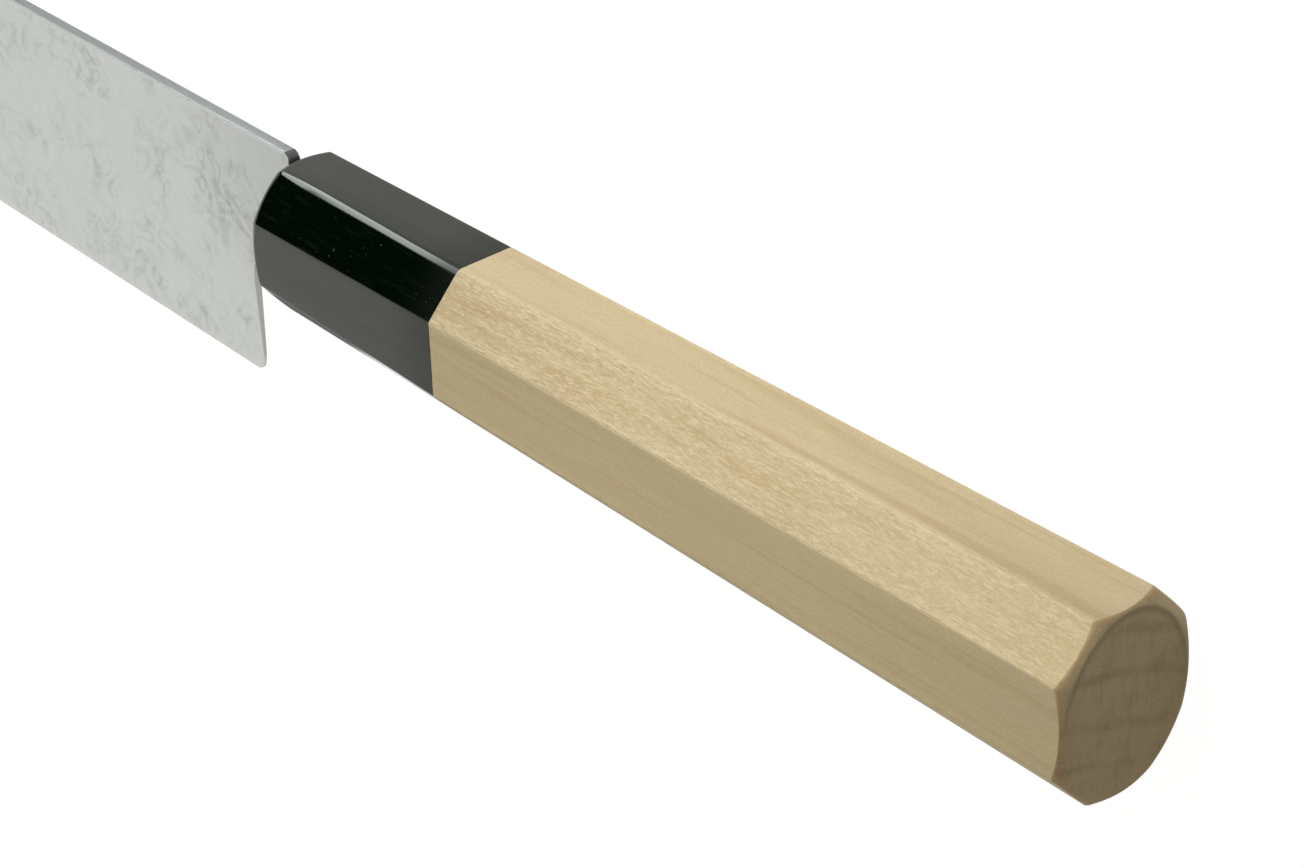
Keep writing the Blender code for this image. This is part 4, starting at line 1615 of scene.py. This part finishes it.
@dataclass
class Studio:
    """Pale floor, soft light and the camera at the photograph's view."""

    floor_half: float = 9.0
    floor_colour: Colour = (0.86, 0.86, 0.86)
    floor_share: float = 0.88
    floor_glow: float = 1.10
    floor_mirrored: float = 0.90
    floor_shade: float = 0.75
    fill: float = 0.350
    fill_colour: Colour = (1.0, 0.942, 0.735)
    white: Colour = (1.0, 1.0, 1.0)
    lens: float = 104.85
    sensor: float = 36.0
    camera_place: Place = (0.41084, 0.23779, 0.25349)
    camera_right: Place = (0.65632, -0.02666, -0.75401)
    camera_back: Place = (0.65241, 0.52202, 0.54942)
    shade_y: Span = (-0.110, -0.060)
    open_y: Span = (-0.012, -0.002)
    shade_x: Span = (0.043, 0.053)
    window_left: float = -1.7
    window_right: tuple[Place, ...] = (
        (0.034, 0.0418, 0.0005), (0.034, 0.0540, 0.0005), (-0.009, 0.1200, 0.0005),
        (-0.420, 0.8000, 0.0005), (-0.420, 0.8000, 0.9000), (-0.420, 0.4500, 0.9000),
    )
    window_colour: Colour = (0.91, 1.00, 1.03)
    window_glow: float = 7.0
    window_sight: Place = (0.0560, 0.0177, 0.0141)
    window_turn: Span = (-1.145, -1.095)
    window_lean: Span = (-1.08, -0.990)
    window_rise: Place = (-0.50, 0.46, 0.70)
    window_blur: float = 0.05
    window_end: Span = (-0.93, -0.85)
    window_end_x: float = 0.036
    lamps: tuple[Lamp, ...] = (
        Lamp("window_light", (-0.48, 0.80, 0.46), (-0.48, 0.0, 0.46), 1.1, 0.68, 11.4, False),
    )

    def sheet(self, name: str, points: Array, material: bpy.types.Material) -> bpy.types.Object:
        """A sheet through a grid of points (columns, rows, 3), which is no part of the knife.

        Args:
            name: Name of the sheet.
            points: The grid.
            material: What it wears.

        Returns:
            The sheet, marked as part of the studio.
        """
        index = np.arange(points.shape[0] * points.shape[1]).reshape(points.shape[:2])
        mesh = new_mesh(name, points, grid_faces(index))
        mesh.materials.append(material)
        item = add_object(name, mesh)
        item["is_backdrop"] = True
        return item

    def floor_shader(self, graph: Graph) -> Wire:
        """A floor which glows for the camera and reflections but keeps the shadow.

        Reflections see it darker on the side of the edge, where the knife keeps the light off.

        Args:
            graph: The floor's graph.

        Returns:
            The shader.
        """
        x, y = graph.axis("X"), graph.axis("Y")
        under = y.between(*self.shade_y) * (1.0 - y.between(*self.open_y))
        under = under * (1.0 - x.between(*self.shade_x))
        mirrored = self.floor_mirrored - under * self.floor_shade - self.floor_glow
        glow = graph.either("Is Glossy Ray") * mirrored + self.floor_glow
        glow = graph.node("ShaderNodeEmission", {}, {"Strength": glow})
        plain = graph.node("ShaderNodeBsdfDiffuse", {}, {"Color": self.floor_colour})
        seen = graph.either(*SEEN_RAYS) * self.floor_share
        return graph.node("ShaderNodeMixShader", {}, {0: seen, 1: plain, 2: glow})

    def window_shader(self, graph: Graph) -> Wire:
        """A dark sheet with a bright window in it.

        Seen from the ferrule, the window reaches higher the less a direction turns aside.

        Args:
            graph: The window sheet's graph.

        Returns:
            The shader.
        """
        x, y, z = [graph.axis(name) - sight for name, sight in zip("XYZ", self.window_sight)]
        away = (y * y + z * z).root()
        aside = x / away
        low, middle, high = self.window_rise
        above = z / y - low - aside.between(*self.window_turn) * (middle - low)
        above = above - aside.between(*self.window_lean) * (high - middle)
        beyond = ((x - self.window_end_x) / away).between(*self.window_end)
        opened = (1.0 - above.between(-self.window_blur, self.window_blur)) * (1.0 - beyond)
        sockets = {"Color": self.window_colour, "Strength": opened * self.window_glow}
        return graph.node("ShaderNodeEmission", {}, sockets)

    def floor(self) -> None:
        """The floor, which goes on far past the picture."""
        span = np.array([-self.floor_half, self.floor_half])
        x, y = np.meshgrid(span, span, indexing="ij")
        points = np.stack([x, y, np.zeros_like(x)], axis=-1)
        self.sheet("floor", points, shaded("pale_floor", self.floor_shader))

    def window(self) -> None:
        """A sheet beyond the spine, which only reflections see."""
        right = np.array(self.window_right)
        points = np.stack([at_x(self.window_left, right[:, 1:]), right])
        sheet = self.sheet("window", points, shaded("window_sheet", self.window_shader))
        for ray in ("camera", "diffuse", "shadow", "transmission"):
            setattr(sheet, f"visible_{ray}", False)

    def world(self) -> None:
        """White all round for the camera and reflections, and an even fill for the rest."""
        world = bpy.data.worlds.new("studio")
        world.use_nodes = True
        bpy.context.scene.world = world
        graph = Graph(world.node_tree)
        kinds = ((self.fill_colour, self.fill), (self.white, 1.0))
        plain, white = [graph.node("ShaderNodeBackground", {}, {"Color": colour, "Strength": strength})
                        for colour, strength in kinds]
        sockets = {0: graph.either(*SEEN_RAYS), 1: plain, 2: white}
        shader = graph.node("ShaderNodeMixShader", {}, sockets)
        graph.node("ShaderNodeOutputWorld", {}, {"Surface": shader})

    def camera(self) -> None:
        """The camera, where the photograph's ridges and outlines place it."""
        data = bpy.data.cameras.new("camera")
        data.sensor_fit = "HORIZONTAL"
        data.sensor_width = self.sensor
        data.lens = self.lens
        camera = add_object("camera", data)
        back = Vector(self.camera_back).normalized()
        up = back.cross(Vector(self.camera_right)).normalized()
        turn = Matrix((up.cross(back), up, back)).transposed().to_4x4()
        camera.matrix_world = Matrix.Translation(self.camera_place) @ turn
        bpy.context.scene.camera = camera

    def build(self) -> None:
        """Set up floor, window, world, lamps and camera, and the plain view transform."""
        self.floor()
        self.window()
        self.world()
        for lamp in self.lamps:
            lamp.light()
        self.camera()
        bpy.context.scene.view_settings.view_transform = "Standard"


# Knife


@dataclass
class Knife:
    """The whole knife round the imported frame."""

    nodes: Mapping[str, bpy.types.Object]

    def origin(self) -> Array:
        """Where the ferrule's front face and the handle's axis lie in the row frame."""
        low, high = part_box("ferrule")
        return np.array([low.x, (low.y + high.y) / 2.0, (low.z + high.z) / 2.0])

    def dress(self, skin: Skin, name: str, node: str, finish: Finish, slot: Slot) -> None:
        """Put a finer skin in the place of a CAD node.

        Args:
            skin: The piece's surface.
            name: Name of the new piece.
            node: The CAD node that it stands for.
            finish: What it wears.
            slot: The record's slot of that finish. Not used.
        """
        piece = skin.make_piece(name, self.origin(), shaded(finish.name, finish.shader))
        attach(piece, ROOT_BODY)
        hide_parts(node)
        log.info("%s: %d faces, stands for %s", name, len(piece.data.polygons), node)

    def finish_node(self, node: str, finish: Finish, slot: Slot) -> None:
        """Give a CAD node a better material.

        Args:
            node: The node's name.
            finish: What it wears.
            slot: The record's slot of that finish. Not used.
        """
        piece = self.nodes[node]
        piece.data.materials.clear()
        piece.data.materials.append(shaded(finish.name, finish.shader))
        log.info("%s: dressed as %s", node, finish.name)

    def build(self) -> None:
        """Build and dress every piece."""
        handle = Handle()
        self.dress(Blade().skin(), "blade_polished", "blade", LayeredSteel(), Slot.STEEL)
        self.dress(handle.ferrule_skin(), "ferrule_polished", "ferrule", BuffaloHorn(), Slot.HORN)
        self.dress(handle.body_skin(), "handle_sanded", "handle_body", BareWood(), Slot.HANDLE)
        self.finish_node("tang_dowel", SawnWood(), Slot.DOWEL)
        self.finish_node("mouth_seal", SetResin(), Slot.RESIN)


def write_sizes() -> None:
    """Log the CAD model's box and the visual model's box."""
    boxes = {"cad": CAD_BOX, "visual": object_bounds()}
    plain = {name: [list(corner) for corner in box] for name, box in boxes.items()}
    log.info("sizes: %s", plain)


def main() -> None:
    """Build the knife and its studio."""
    logging.basicConfig(level=logging.INFO, format="%(name)s: %(message)s")
    Knife(frame["nodes"]).build()
    Studio().build()
    write_sizes()


if __name__ == "__main__":
    main()
